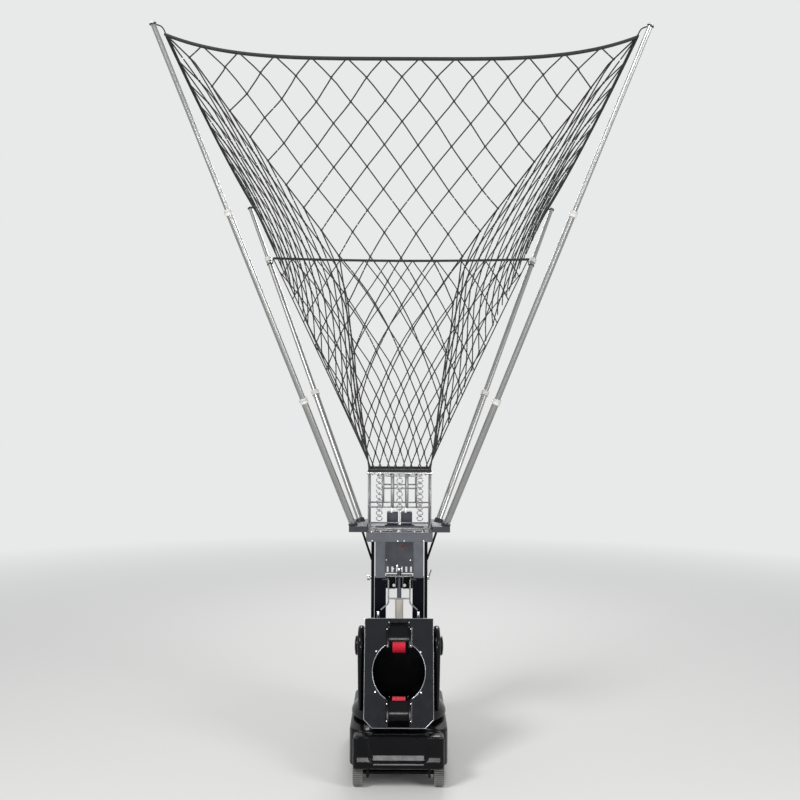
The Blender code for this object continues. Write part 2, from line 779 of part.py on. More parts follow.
def make_yoke():
    """The turntable disc and the two arms that hold the head, each on a rounded lobe."""
    disc = turned(
        [(0, TURNTABLE_Z), (TURRET_RADIUS, TURNTABLE_Z), (TURRET_RADIUS, TURNTABLE_TOP_Z),
         (0, TURNTABLE_TOP_Z)],
        40,
    )
    slot = box(
        (-NOTCH_HALF_WIDTH - CHEEK_LIP - 0.006, -TURRET_RADIUS - 0.01, TURNTABLE_Z - 0.01),
        (NOTCH_HALF_WIDTH + CHEEK_LIP + 0.006, TURNTABLE_SLOT_Y, TURNTABLE_TOP_Z + 0.01),
    )
    piece("turntable", "black_plastic", cut(disc, slot), smooth=True)
    lobe_z = TURNTABLE_TOP_Z + GAP
    crown = []
    for i in range(7):
        angle = radians(90 * i / 6)
        crown.append(
            (
                TURRET_RADIUS - TURRET_ROUND + TURRET_ROUND * cos(angle),
                TURRET_TOP_Z - 1.4 * TURRET_ROUND + 1.4 * TURRET_ROUND * sin(angle),
            )
        )
    dome_profile = [(0, lobe_z), (TURRET_RADIUS, lobe_z), *crown, (0, TURRET_TOP_Z)]
    foot = [(ARM_FOOT_REAR_Y, TURRET_TOP_Z - 0.070), (ARM_FOOT_REAR_Y - 0.030, TURRET_TOP_Z + 0.060)]
    head = arc((PIVOT_Y, PIVOT_Z), ARM_TOP_RADIUS, 15, 195, 10)
    outline = foot + head + [(ARM_FOOT_FRONT_Y, TURRET_TOP_Z - 0.070)]
    for side in (-1, 1):
        dome = turned(dome_profile, 40)
        away = box(
            (-side * TURRET_RADIUS * 1.2 if side > 0 else -ARM_INNER_X, -0.4, lobe_z - 0.05),
            (ARM_INNER_X if side > 0 else TURRET_RADIUS * 1.2, 0.4, TURRET_TOP_Z + 0.05),
        )
        lobe = cut(dome, away)
        xs = sorted((side * ARM_INNER_X, side * ARM_OUTER_X))
        arm = prism(outline, "X", xs[0], xs[1])
        cap_out = side * (ARM_OUTER_X + PIVOT_CAP_THICK)
        cap = rod((side * (ARM_OUTER_X - 0.004), PIVOT_Y, PIVOT_Z), (cap_out, PIVOT_Y, PIVOT_Z),
                  PIVOT_CAP_RADIUS, 24)
        pin = rod(
            (side * (ARM_INNER_X - PIVOT_PIN_LENGTH), PIVOT_Y, PIVOT_Z),
            (side * (ARM_INNER_X + 0.004), PIVOT_Y, PIVOT_Z),
            PIVOT_PIN_RADIUS, 16,
        )
        shape = fuse(lobe, arm, cap, pin)
        piece(f"yoke_arm_{side_name(side)}", "gloss_black", shape, smooth=True)


def make_face_plate():
    """The head's face: a flanged plate with the launch hole and a notch for each wheel."""
    outline = [
        (-PLATE_HALF_WIDTH + PLATE_CHAMFER, PLATE_BOTTOM),
        (PLATE_HALF_WIDTH - PLATE_CHAMFER, PLATE_BOTTOM),
        (PLATE_HALF_WIDTH, PLATE_BOTTOM + PLATE_CHAMFER),
        (PLATE_HALF_WIDTH, PLATE_TOP - PLATE_TOP_CHAMFER),
        (PLATE_HALF_WIDTH - PLATE_TOP_CHAMFER, PLATE_TOP),
        (-PLATE_HALF_WIDTH + PLATE_TOP_CHAMFER, PLATE_TOP),
        (-PLATE_HALF_WIDTH, PLATE_TOP - PLATE_TOP_CHAMFER),
        (-PLATE_HALF_WIDTH, PLATE_BOTTOM + PLATE_CHAMFER),
    ]
    shape = prism(outline, "Y", PLATE_FRONT, PLATE_FRONT + PLATE_THICK)
    for side in (-1, 1):
        flange = side_box(
            side,
            PLATE_HALF_WIDTH - 0.004,
            PLATE_HALF_WIDTH,
            (PLATE_FRONT + PLATE_THICK - 0.002, PLATE_BOTTOM + PLATE_CHAMFER),
            (PLATE_FRONT + PLATE_FLANGE, PLATE_TOP - PLATE_TOP_CHAMFER),
        )
        shape = fuse(shape, flange)
    hole = []
    for i in range(36):
        angle = 2 * pi * i / 36
        hole.append(
            (HOLE_HALF_WIDTH * cos(angle), HOLE_CENTRE + HOLE_HALF_HEIGHT * sin(angle))
        )
    opening = prism(hole, "Y", PLATE_FRONT - 0.01, PLATE_FRONT + PLATE_THICK + 0.01)
    notch = box(
        (-NOTCH_HALF_WIDTH, PLATE_FRONT - 0.01, PLATE_BOTTOM + NOTCH_MARGIN),
        (NOTCH_HALF_WIDTH, PLATE_FRONT + PLATE_THICK + 0.01, NOTCH_TOP),
    )
    head_piece("face_plate", "powder_black", cut(shape, opening, notch))


def make_hood(name, centre_z, first, last):
    """A wheel hood: two cheeks joined by a round cover between two angles, with a lip on the face."""
    centre = (LAUNCH_WHEEL_DEPTH, centre_z)
    cover_outline = arc(centre, HOOD_OUTER, first, last, 10) + arc(centre, HOOD_INNER, last, first, 10)
    shape = prism(cover_outline, "X", -HOOD_HALF_WIDTH + 0.001, HOOD_HALF_WIDTH - 0.001)
    cheek_low, cheek_high = centre_z - HOOD_OUTER * 0.62, centre_z + HOOD_OUTER * 0.62
    for side in (-1, 1):
        xs = sorted((side * CHEEK_INNER_X, side * HOOD_HALF_WIDTH))
        cheek = prism(arc(centre, HOOD_OUTER, 0, 345, 23), "X", xs[0], xs[1])
        lip = side_box(
            side,
            HOOD_HALF_WIDTH - 0.002,
            NOTCH_HALF_WIDTH + CHEEK_LIP,
            (PLATE_FRONT - 0.003 - GAP, cheek_low),
            (PLATE_FRONT - GAP, cheek_high),
        )
        shape = fuse(shape, cheek, lip)
    head_piece(name, "gloss_black", shape, smooth=True)


def make_launch_wheels():
    """The two red wheels, each with its short shaft, and the motor beside each."""
    half = LAUNCH_WHEEL_WIDTH / 2
    end = CHEEK_INNER_X - GAP
    profile = [
        (0, -end),
        (0.010, -end),
        (0.010, -half + 0.012),
        (0.046, -half + 0.008),
        (0.050, -half),
        (LAUNCH_WHEEL_RADIUS - 0.006, -half),
        (LAUNCH_WHEEL_RADIUS - 0.001, -half + 0.005),
        (LAUNCH_WHEEL_RADIUS, 0),
        (LAUNCH_WHEEL_RADIUS - 0.001, half - 0.005),
        (LAUNCH_WHEEL_RADIUS - 0.006, half),
        (0.050, half),
        (0.046, half - 0.008),
        (0.010, half - 0.012),
        (0.010, end),
        (0, end),
    ]
    motor_start = HOOD_HALF_WIDTH + GAP
    for name, height in (("top", TOP_WHEEL_Z), ("bottom", BOTTOM_WHEEL_Z)):
        centre = (0, LAUNCH_WHEEL_DEPTH, height)
        wheel = turned(profile, 20, centre, (1, 0, 0))
        head_piece(f"launch_wheel_{name}", "red_rubber", wheel, centre, smooth=True)
        motor = rod((motor_start, *centre[1:]), (motor_start + MOTOR_LENGTH, *centre[1:]), MOTOR_RADIUS, 20)
        head_piece(f"launch_motor_{name}", "tube_dark", motor, smooth=True)


def make_housing():
    """The ball well behind the face: walls, a curved floor and the bosses that the head tilts on."""
    outline = [
        (PLATE_FRONT + PLATE_THICK + GAP, HOUSING_TOP),
        (PLATE_FRONT + PLATE_THICK + GAP, HOUSING_SIDE_BOTTOM),
        (0.010, HOUSING_FLOOR),
        (HOUSING_BACK - HOUSING_CORNER, HOUSING_FLOOR),
        (HOUSING_BACK - HOUSING_CORNER * 0.32, HOUSING_FLOOR + HOUSING_CORNER * 0.32),
        (HOUSING_BACK, HOUSING_FLOOR + HOUSING_CORNER),
        (HOUSING_BACK, HOUSING_TOP),
    ]
    wall = HOUSING_WALL
    well = [
        (PLATE_FRONT - 0.05, HOUSING_TOP + 0.05),
        (PLATE_FRONT - 0.05, HOUSING_FLOOR - 0.05),
        (0.012, HOUSING_FLOOR - 0.05),
        (0.012, HOUSING_FLOOR + wall),
        (HOUSING_BACK - HOUSING_CORNER, HOUSING_FLOOR + wall),
        (HOUSING_BACK - HOUSING_CORNER * 0.32 - wall * 0.7,
         HOUSING_FLOOR + HOUSING_CORNER * 0.32 + wall * 0.7),
        (HOUSING_BACK - wall, HOUSING_FLOOR + HOUSING_CORNER),
        (HOUSING_BACK - wall, HOUSING_TOP + 0.05),
    ]
    inner_x = HOUSING_HALF_WIDTH - wall
    shape = cut(
        prism(outline, "X", -HOUSING_HALF_WIDTH, HOUSING_HALF_WIDTH),
        prism(well, "X", -inner_x, inner_x),
    )
    for side in (-1, 1):
        boss = rod((side * (inner_x + 0.001), 0, 0), (side * (ARM_INNER_X - GAP), 0, 0), BOSS_RADIUS, 24)
        bore = rod(
            (side * (ARM_INNER_X - PIVOT_PIN_LENGTH - 0.001), 0, 0),
            (side * (ARM_INNER_X + 0.01), 0, 0),
            PIVOT_PIN_RADIUS + 0.0008, 16,
        )
        shape = cut(fuse(shape, boss), bore)
    head_piece("head_housing", "black_plastic", shape)


def make_tower():
    """The outer tubes on the deck, the inner tubes in them, the bridge and the lift actuator."""
    half = OUTER_TUBE / 2
    bottom = DECK_Z + GAP
    for side in (-1, 1):
        centre_x = side * TOWER_X
        outer = cut(
            box((centre_x - half, TOWER_FRONT_Y, bottom), (centre_x + half, TOWER_REAR_Y, OUTER_TOP_Z)),
            box(
                (centre_x - half + OUTER_WALL, TOWER_FRONT_Y + OUTER_WALL, bottom - 0.01),
                (centre_x + half - OUTER_WALL, TOWER_REAR_Y - OUTER_WALL, OUTER_TOP_Z + 0.01),
            ),
        )
        name = side_name(side)
        piece(f"tower_outer_{name}", "tube_dark", outer)
        reach = INNER_TUBE / 2
        bore = reach - INNER_WALL
        top = FRAME_BOTTOM_Z - GAP
        inner = cut(
            box(
                (centre_x - reach, TOWER_Y - reach, INNER_BOTTOM_Z),
                (centre_x + reach, TOWER_Y + reach, top),
            ),
            box(
                (centre_x - bore, TOWER_Y - bore, INNER_BOTTOM_Z - 0.01),
                (centre_x + bore, TOWER_Y + bore, top + 0.01),
            ),
        )
        sleeve = OUTER_TUBE / 2 - OUTER_WALL - GAP
        foot = cut(
            box((centre_x - sleeve, TOWER_Y - sleeve, INNER_BOTTOM_Z),
                (centre_x + sleeve, TOWER_Y + sleeve, INNER_BOTTOM_Z + 0.030)),
            box((centre_x - bore, TOWER_Y - bore, INNER_BOTTOM_Z - 0.01),
                (centre_x + bore, TOWER_Y + bore, INNER_BOTTOM_Z + 0.040)),
        )
        piece(f"tower_inner_{name}", "tube_grey", fuse(inner, foot))
    bridge_x = TOWER_X - OUTER_TUBE / 2 - GAP
    bridge_front = TOWER_Y + ACTUATOR_ROD_RADIUS + 0.004
    bridge = box(
        (-bridge_x, bridge_front, BRIDGE_BOTTOM_Z),
        (bridge_x, bridge_front + BRIDGE_THICK, BRIDGE_TOP_Z),
    )
    boxes = []
    for side in (-1, 1):
        boxes.append(
            side_box(
                side, BRIDGE_BOX_INNER_X, BRIDGE_BOX_OUTER_X,
                (TOWER_FRONT_Y + 0.009, BRIDGE_BOTTOM_Z + 0.004),
                (bridge_front + 0.002, BRIDGE_TOP_Z - 0.004),
            )
        )
    piece("tower_bridge", "black_plastic", fuse(bridge, *boxes))
    tube = turned(
        [
            (0, bottom),
            (ACTUATOR_TUBE_RADIUS, bottom),
            (ACTUATOR_TUBE_RADIUS, ACTUATOR_TOP_Z),
            (ACTUATOR_ROD_RADIUS + GAP, ACTUATOR_TOP_Z),
            (ACTUATOR_ROD_RADIUS + GAP, ACTUATOR_TOP_Z - 0.020),
            (ACTUATOR_TUBE_RADIUS - ACTUATOR_WALL, ACTUATOR_TOP_Z - 0.020),
            (ACTUATOR_TUBE_RADIUS - ACTUATOR_WALL, bottom + 0.020),
            (0, bottom + 0.020),
        ],
        20, (0, TOWER_Y, 0),
    )
    piece("actuator_tube", "cream", tube, smooth=True)
    lift_rod = rod((0, TOWER_Y, ACTUATOR_ROD_BOTTOM_Z), (0, TOWER_Y, FRAME_BOTTOM_Z - GAP),
                   ACTUATOR_ROD_RADIUS, 20)
    piece("actuator_rod", "tube_grey", lift_rod, smooth=True)


def make_ball_rails():
    """The bent wire guide in front of the tower, which leads the ball down to the head."""
    shape = rod((-RAIL_X, RAIL_Y, RAIL_BAR_Z), (RAIL_X, RAIL_Y, RAIL_BAR_Z), RAIL_RADIUS * 0.7, 8)
    end_y = TOWER_FRONT_Y - GAP
    end_x = TOWER_X - 0.014
    for side in (-1, 1):
        points = [
            (side * RAIL_FLARE_X, RAIL_Y - 0.010, RAIL_LOWEST_Z),
            (side * (RAIL_X + 0.006), RAIL_Y, RAIL_LOWEST_Z + 0.024),
            (side * RAIL_X, RAIL_Y, RAIL_LOWEST_Z + 0.032),
            (side * RAIL_X, RAIL_Y, RAIL_TOP_Z - 0.006),
            (side * (RAIL_X + 0.003), RAIL_Y + 0.006, RAIL_TOP_Z),
            (side * (end_x - 0.003), end_y - 0.026, RAIL_TOP_Z),
            (side * end_x, end_y - 0.018, RAIL_TOP_Z),
            (side * end_x, end_y, RAIL_TOP_Z),
        ]
        shape = fuse(shape, bent_rod(points, RAIL_RADIUS))
    piece("ball_rails", "powder_grey", shape, smooth=True)


def make_platform():
    """The frame on the tubes, the two side plates with their pole cups, the panel and the guards."""
    frame = cut(
        box(
            (-FRAME_HALF_WIDTH, FRAME_FRONT_Y, FRAME_BOTTOM_Z),
            (FRAME_HALF_WIDTH, FRAME_REAR_Y, FRAME_TOP_Z),
        ),
        box(
            (-BALL_HOLE_HALF_WIDTH, BALL_HOLE_FRONT_Y, FRAME_BOTTOM_Z - 0.01),
            (BALL_HOLE_HALF_WIDTH, BALL_HOLE_REAR_Y, FRAME_TOP_Z + 0.01),
        ),
    )
    piece("platform_frame", "powder_grey", frame)
    for side in (-1, 1):
        plate = side_box(
            side, PLATE_INNER_X, PLATE_OUTER_X, (FRAME_FRONT_Y, PLATFORM_Z), (PLATE_REAR_Y, PLATFORM_TOP_Z)
        )
        for pole in (front_pole(side), rear_pole(side)):
            start, direction = pole["start"], pole["direction"]
            cup = rod(start - direction * CUP_SINK, start + direction * CUP_LENGTH, CUP_RADIUS, 16)
            bore = turned(
                [(0, POLE_START - GAP), (POLE_RADII[0] + GAP, POLE_START - GAP),
                 (POLE_RADII[0] + GAP, CUP_LENGTH + 0.02), (0, CUP_LENGTH + 0.02)],
                POLE_SIDES, start, direction,
            )
            plate = cut(fuse(plate, cup), bore)
        under = side_box(
            side, PLATE_INNER_X - 0.1, PLATE_OUTER_X + 0.1,
            (FRAME_FRONT_Y - 0.1, PLATFORM_Z - 0.1), (PLATE_REAR_Y + 0.1, PLATFORM_Z)
        )
        piece(f"platform_plate_{side_name(side)}", "powder_grey", cut(plate, under))
    panel = box(
        (-PANEL_HALF_WIDTH, TOWER_FRONT_Y - GAP - PANEL_THICK, PANEL_BOTTOM_Z),
        (PANEL_HALF_WIDTH, TOWER_FRONT_Y - GAP, FRAME_BOTTOM_Z - GAP),
    )
    slots = []
    pitch = 2 * PANEL_HALF_WIDTH / COMB_SLOTS
    for i in range(COMB_SLOTS):
        middle = -PANEL_HALF_WIDTH + pitch * (i + 0.5)
        slots.append(
            box(
                (middle - COMB_SLOT_WIDTH / 2, TOWER_FRONT_Y - 0.01, PANEL_BOTTOM_Z + 0.006),
                (middle + COMB_SLOT_WIDTH / 2, TOWER_FRONT_Y + 0.02,
                 PANEL_BOTTOM_Z + 0.006 + COMB_SLOT_HEIGHT),
            )
        )
    piece("centre_panel", "powder_grey", cut(panel, *slots))
    make_guards()


def make_guards():
    """The side guards that hang from the frame, each with the stay that props its side plate."""
    for side in (-1, 1):
        guard = side_box(
            side, GUARD_X - GUARD_WALL, GUARD_X,
            (TOWER_FRONT_Y, GUARD_BOTTOM_Z), (TOWER_REAR_Y, FRAME_BOTTOM_Z - GAP)
        )
        flange = side_box(
            side, TOWER_X + OUTER_TUBE / 2 + GUARD_CLEARANCE, GUARD_X,
            (TOWER_FRONT_Y, GUARD_BOTTOM_Z), (TOWER_FRONT_Y + GUARD_WALL, FRAME_BOTTOM_Z - GAP)
        )
        top_x = PLATE_INNER_X + 0.035
        top_y = FRAME_FRONT_Y + 0.190
        foot_z = FRAME_BOTTOM_Z - 0.150
        top = Vector((side * top_x, top_y, PLATFORM_Z - GAP))
        foot = Vector((side * (GUARD_X - 0.001), TOWER_FRONT_Y + 0.020, foot_z))
        run = top - foot
        half = STAY_WIDTH / 2
        outline = [(-half, -STAY_THICK / 2), (half, -STAY_THICK / 2), (half, STAY_THICK / 2),
                   (-half, STAY_THICK / 2)]
        stay = prism(outline, "Z", 0, run.length + 0.02)
        turn = run.to_track_quat("Z", "X").to_matrix().to_4x4()
        stay.transform(Matrix.Translation(foot) @ turn)
        above = box((-1, -1, PLATFORM_Z - GAP), (1, 1, PLATFORM_Z + 1))
        inside = side_box(side, 0, GUARD_X - GUARD_WALL / 2, (-1, 0.5), (1, 2))
        shape = fuse(guard, flange, cut(stay, above, inside))
        piece(f"side_guard_{side_name(side)}", "powder_grey", shape)


def make_locks():
    """The screw knob on the left guard and the cranked clamp lever on the right one."""
    face = GUARD_X + GAP
    centre = (TOWER_Y, KNOB_Z)
    knob = turned(
        [(0, 0), (0.006, 0), (0.006, 0.006), (KNOB_RADIUS, 0.008), (KNOB_RADIUS, KNOB_LENGTH),
         (0, KNOB_LENGTH)],
        12, (-face, *centre), (-1, 0, 0),
    )
    piece("lock_knob", "black_plastic", knob, (-face, *centre), smooth=True)
    hub = rod((face, *centre), (face + 0.012, *centre), 0.009, 12)
    low = (face + 0.007, *centre)
    high = (face + 0.007 + LEVER_LENGTH * 0.35, centre[0], centre[1] + LEVER_LENGTH)
    arm = rod(low, high, 0.0045, 8)
    piece("lock_lever", "zinc", fuse(hub, arm), (face, *centre), smooth=True)


def make_cage():
    """The rod cage that takes the ball from the net, in one welded piece."""
    half = CAGE_ROD / 2
    foot = CAGE_FOOT_Z + half
    ring = CAGE_FOOT_Z + CAGE_RING_LIFT
    rods = []
    for height in (ring, CAGE_MIDDLE_Z, CAGE_TOP_Z - half):
        for sign in (-1, 1):
            rods.append(((-CAGE_X, sign * CAGE_Y, height), (CAGE_X, sign * CAGE_Y, height)))
            rods.append(((sign * CAGE_X, -CAGE_Y, height), (sign * CAGE_X, CAGE_Y, height)))
    for x in (-CAGE_X, CAGE_X):
        for y in (-CAGE_Y, CAGE_Y):
            rods.append(((x, y, foot), (x, y, CAGE_TOP_Z - half)))
        rods.append(((x, 0, ring), (x, 0, CAGE_TOP_Z - half)))
    for x in CAGE_INNER_RODS:
        for y in (-CAGE_Y, CAGE_Y):
            rods.append(((x, y, CAGE_MIDDLE_Z), (x, y, CAGE_TOP_Z - half)))
    for y in (-CAGE_Y, CAGE_Y):
        rods.append(((CAGE_INNER_RODS[0], y, CAGE_BAR_Z), (CAGE_INNER_RODS[-1], y, CAGE_BAR_Z)))
    shape = lattice([square_bar(start, end, CAGE_ROD) for start, end in rods])
    piece("ball_cage", "powder_black", shape)


def make_chains():
    """Three hanging chains of beads in front of the cage, on one bar that is hooked to its top rod."""
    front = -CAGE_Y - CAGE_ROD / 2 - GAP
    centre_y = front - CHAIN_RADIUS
    top = CAGE_TOP_Z
    reach = abs(CHAIN_X[0]) + 0.012
    shape = box((-reach, centre_y - CHAIN_BAR / 2, top - CHAIN_BAR), (reach, front, top))
    for x, beads in zip(CHAIN_X, CHAIN_BEADS):
        profile = [(0, 0), (CHAIN_WAIST, 0)]
        for i in range(beads):
            profile.append((CHAIN_RADIUS, -CHAIN_PITCH * (i + 0.5)))
            profile.append((CHAIN_WAIST, -CHAIN_PITCH * (i + 1)))
        profile.append((0, -CHAIN_PITCH * beads))
        chain = turned(profile, 8, (x, centre_y, top - CHAIN_BAR / 2))
        shape = fuse(shape, chain)
    piece("brake_chains", "zinc", shape, smooth=True)


def make_gate():
    """The gate drive behind the ball hole and the paddle that holds the ball back."""
    low_y = CAGE_Y + CAGE_ROD / 2 + 0.010
    high_y = low_y + GATE_BLOCK_DEPTH
    base = box(
        (-GATE_BLOCK_OUTER_X - 0.012, low_y, FRAME_TOP_Z + GAP),
        (GATE_BLOCK_OUTER_X + 0.012, high_y, FRAME_TOP_Z + GAP + 0.006),
    )
    blocks = []
    for side in (-1, 1):
        xs = sorted((side * GATE_BLOCK_INNER_X, side * GATE_BLOCK_OUTER_X))
        blocks.append(
            rounded_box(
                (xs[0], low_y + 0.001, FRAME_TOP_Z + GAP + 0.002),
                (xs[1], high_y - 0.001, FRAME_TOP_Z + GAP + GATE_BLOCK_HEIGHT),
                0.010,
            )
        )
    piece("gate_drive", "powder_grey", fuse(base, *blocks), smooth=True)
    shaft_end = BALL_HOLE_HALF_WIDTH - GAP
    shaft = rod((-shaft_end, GATE_SHAFT_Y, GATE_SHAFT_Z), (shaft_end, GATE_SHAFT_Y, GATE_SHAFT_Z),
                GATE_SHAFT_RADIUS, 12)
    paddle = box(
        (-GATE_HALF_WIDTH, GATE_SHAFT_Y - GATE_REACH, GATE_SHAFT_Z - 0.0025),
        (GATE_HALF_WIDTH, GATE_SHAFT_Y, GATE_SHAFT_Z + 0.0025),
    )
    piece("ball_gate", "zinc", fuse(shaft, paddle), (0, GATE_SHAFT_Y, GATE_SHAFT_Z), smooth=True)


def pole(side, x, y, out, along, joints, height):
    """The line of a pole and where its tubes meet, as distances along it."""
    lean = Vector((side * out, along, 1.0))
    stretch = lean.length
    return {
        "start": Vector((side * x, y, PLATFORM_TOP_Z)),
        "direction": lean.normalized(),
        "joints": [joint * stretch for joint in joints],
        "length": height * stretch,
    }


def front_pole(side):
    """The longer pole on the front corner of a side plate."""
    return pole(side, FRONT_POLE_X, FRONT_POLE_Y, FRONT_POLE_OUT, -FRONT_POLE_FORWARD,
                FRONT_POLE_JOINTS, FRONT_POLE_HEIGHT)


def rear_pole(side):
    """The shorter pole on the rear corner, which clears the backboard."""
    return pole(side, REAR_POLE_X, REAR_POLE_Y, REAR_POLE_OUT, REAR_POLE_BACK,
                REAR_POLE_JOINTS, REAR_POLE_HEIGHT)


def collared_tube(radius, next_radius, low, high):
    """The profile of a tube with a clamp collar at its top, which grips the next tube."""
    inner = radius - POLE_WALL
    collar = radius + COLLAR_THICK
    grip = next_radius + GAP
    return [
        (inner, low),
        (radius, low),
        (radius, high - COLLAR_LENGTH),
        (collar, high - COLLAR_LENGTH),
        (collar, high),
        (grip, high),
        (grip, high - COLLAR_GRIP),
        (inner, high - COLLAR_GRIP),
    ]


def make_pole(name, line):
    """One telescoping pole of three tubes. The net's corner is tied to the cap on its tip."""
    start, direction = line["start"], line["direction"]
    first, second = line["joints"]
    big, middle, small = POLE_RADII
    lower = turned(collared_tube(big, middle, POLE_START, first), POLE_SIDES, start, direction)
    piece(f"{name}_lower", "silver", lower, start, smooth=True)
    mid = turned(
        collared_tube(middle, small, first - POLE_OVERLAP, second), POLE_SIDES, start, direction
    )
    piece(f"{name}_middle", "silver", mid, start + direction * first, smooth=True)
    end = line["length"]
    tip = turned(
        [
            (small - POLE_WALL, second - POLE_OVERLAP),
            (small, second - POLE_OVERLAP),
            (small, end - TIP_CAP_LENGTH),
            (TIP_CAP_RADIUS, end - TIP_CAP_LENGTH),
            (TIP_CAP_RADIUS, end - 0.003),
            (small - 0.002, end),
            (0, end),
            (0, end - TIP_CAP_LENGTH),
            (small - POLE_WALL, end - TIP_CAP_LENGTH),
        ],
        POLE_SIDES, start, direction,
    )
    piece(f"{name}_tip", "silver", tip, start + direction * second, smooth=True)


def net_rim():
    """The net's top edge as points for each column: front rope, side, drop along the pole, rear rope."""
    def inset(point, amount):
        centre = Vector((0, 0, point.z))
        return point + (centre - point).normalized() * amount

    def along(line, distance):
        return line["start"] + line["direction"] * distance

    front, rear, tie = {}, {}, {}
    for side in (-1, 1):
        tall, low = front_pole(side), rear_pole(side)
        front[side] = inset(along(tall, tall["length"] - NET_CORNER_DROP), NET_INSET)
        rear[side] = inset(along(low, low["length"] - NET_CORNER_DROP), NET_INSET)
        tie[side] = inset(along(low, low["joints"][1] - NET_REAR_DROP), NET_INSET)
    stretches = [
        (front[-1], front[1], NET_COLUMNS_FRONT, NET_FRONT_SAG),
        (front[1], rear[1], NET_COLUMNS_SIDE, NET_SIDE_SAG),
        (rear[1], tie[1], NET_COLUMNS_DROP, 0.0),
        (tie[1], tie[-1], NET_COLUMNS_REAR, 0.0),
        (tie[-1], rear[-1], NET_COLUMNS_DROP, 0.0),
        (rear[-1], front[-1], NET_COLUMNS_SIDE, NET_SIDE_SAG),
    ]
    return stretches


def net_foot():
    """The net's bottom edge, a square on the cage's top ring, in the same stretches as the rim."""
    z = CAGE_TOP_Z + GAP + NET_HEM_HEIGHT
    x, y = CAGE_X, CAGE_Y
    corner = {(sx, sy): Vector((sx * x, sy * y, z)) for sx in (-1, 1) for sy in (-1, 1)}
    near_corner = Vector((0.035, 0, 0))
    return [
        (corner[-1, -1], corner[1, -1]),
        (corner[1, -1], corner[1, 1]),
        (corner[1, 1], corner[1, 1] - near_corner),
        (corner[1, 1] - near_corner, corner[-1, 1] + near_corner),
        (corner[-1, 1] + near_corner, corner[-1, 1]),
        (corner[-1, 1], corner[-1, -1]),
    ]


def net_pull(position, level):
    """How far the cloth is drawn inwards: by a wave all round, and by a second one at its corners."""
    for start, end in zip(NET_CORNERS, NET_CORNERS[1:]):
        if position <= end:
            corner = abs(2 * (position - start) / (end - start) - 1)
            break
    power = 2 + 5 * min(max((level - 0.5) / 0.25, 0), 1)
    around = NET_PULL * sin(pi * level**0.6)
    return around + NET_CORNER_PULL * max(sin(pi * level**0.9), 0) ** 1.5 * corner**power


def net_point(column, level):
    """A point on the funnel, by its column and by its level from 0 at the cage to 1 at the rim."""
    position = column % NET_COLUMNS
    pull = net_pull(position, level)
    for (start, end, count, sag), (foot_start, foot_end) in zip(NET_RIM, NET_FOOT):
        if position <= count:
            share = position / count
            rim = start.lerp(end, share) - Vector((0, 0, 4 * sag * share * (1 - share)))
            foot = foot_start.lerp(foot_end, share)
            point = foot.lerp(rim, level)
            return point - Vector((point.x, point.y, 0)).normalized() * pull
        position -= count
    return net_point(column - NET_COLUMNS, level)


def make_net():
    """The diamond net: flat knots joined by cords, with a hem at each end, thickened to the cord."""
    bm = bmesh.new()
    half = NET_CORD / 2
    step = 0.05

    def level_share(level):
        """Diamonds grow with the funnel's width, so the levels are spread by a power."""
        return (level / NET_LEVELS) ** 1.25

    def corner(column, level, du, dv):
        """A knot's corner, half a cord's width off its middle."""
        here = net_point(column, level_share(level))
        if du:
            there = net_point(column + du * step, level_share(level))
        else:
            near = min(max(level + dv * step, 0), NET_LEVELS)
            there = net_point(column, level_share(near))
        return here + (there - here).normalized() * half * 1.5

    knots = {}
    for level in range(NET_LEVELS + 1):
        shift = 0.5 * (level % 2)
        for column in range(NET_COLUMNS):
            u = column + shift
            made = {
                "e": bm.verts.new(corner(u, level, 1, 0)),
                "w": bm.verts.new(corner(u, level, -1, 0)),
            }
            if level < NET_LEVELS:
                made["n"] = bm.verts.new(corner(u, level, 0, 1))
            if level > 0:
                made["s"] = bm.verts.new(corner(u, level, 0, -1))
            knots[column, level] = made
    for (column, level), knot in knots.items():
        if 0 < level < NET_LEVELS:
            bm.faces.new((knot["e"], knot["n"], knot["w"], knot["s"]))
        elif level == 0:
            bm.faces.new((knot["e"], knot["n"], knot["w"]))
        else:
            bm.faces.new((knot["e"], knot["w"], knot["s"]))
        if level == NET_LEVELS:
            continue
        right = knots[(column + level % 2) % NET_COLUMNS, level + 1]
        left = knots[(column - 1 + level % 2) % NET_COLUMNS, level + 1]
        bm.faces.new((knot["e"], right["s"], right["w"], knot["n"]))
        bm.faces.new((knot["n"], left["e"], left["s"], knot["w"]))
    for level, offset in ((0, -NET_HEM_HEIGHT), (NET_LEVELS, NET_HEM_HEIGHT)):
        inner, outer = [], []
        for column in range(NET_COLUMNS):
            for key in ("w", "e"):
                vert = knots[column, level][key]
                inner.append(vert)
                outer.append(bm.verts.new(vert.co + Vector((0, 0, offset))))
        count = len(inner)
        for i in range(count):
            j = (i + 1) % count
            if level == 0:
                bm.faces.new((outer[i], outer[j], inner[j], inner[i]))
            else:
                bm.faces.new((inner[i], inner[j], outer[j], outer[i]))
    item = piece("catch_net", "net_cord", bm)
    skin = item.modifiers.new("cord", "SOLIDIFY")
    skin.thickness = NET_CORD
    skin.offset = 0.0
    skin.use_even_offset = False


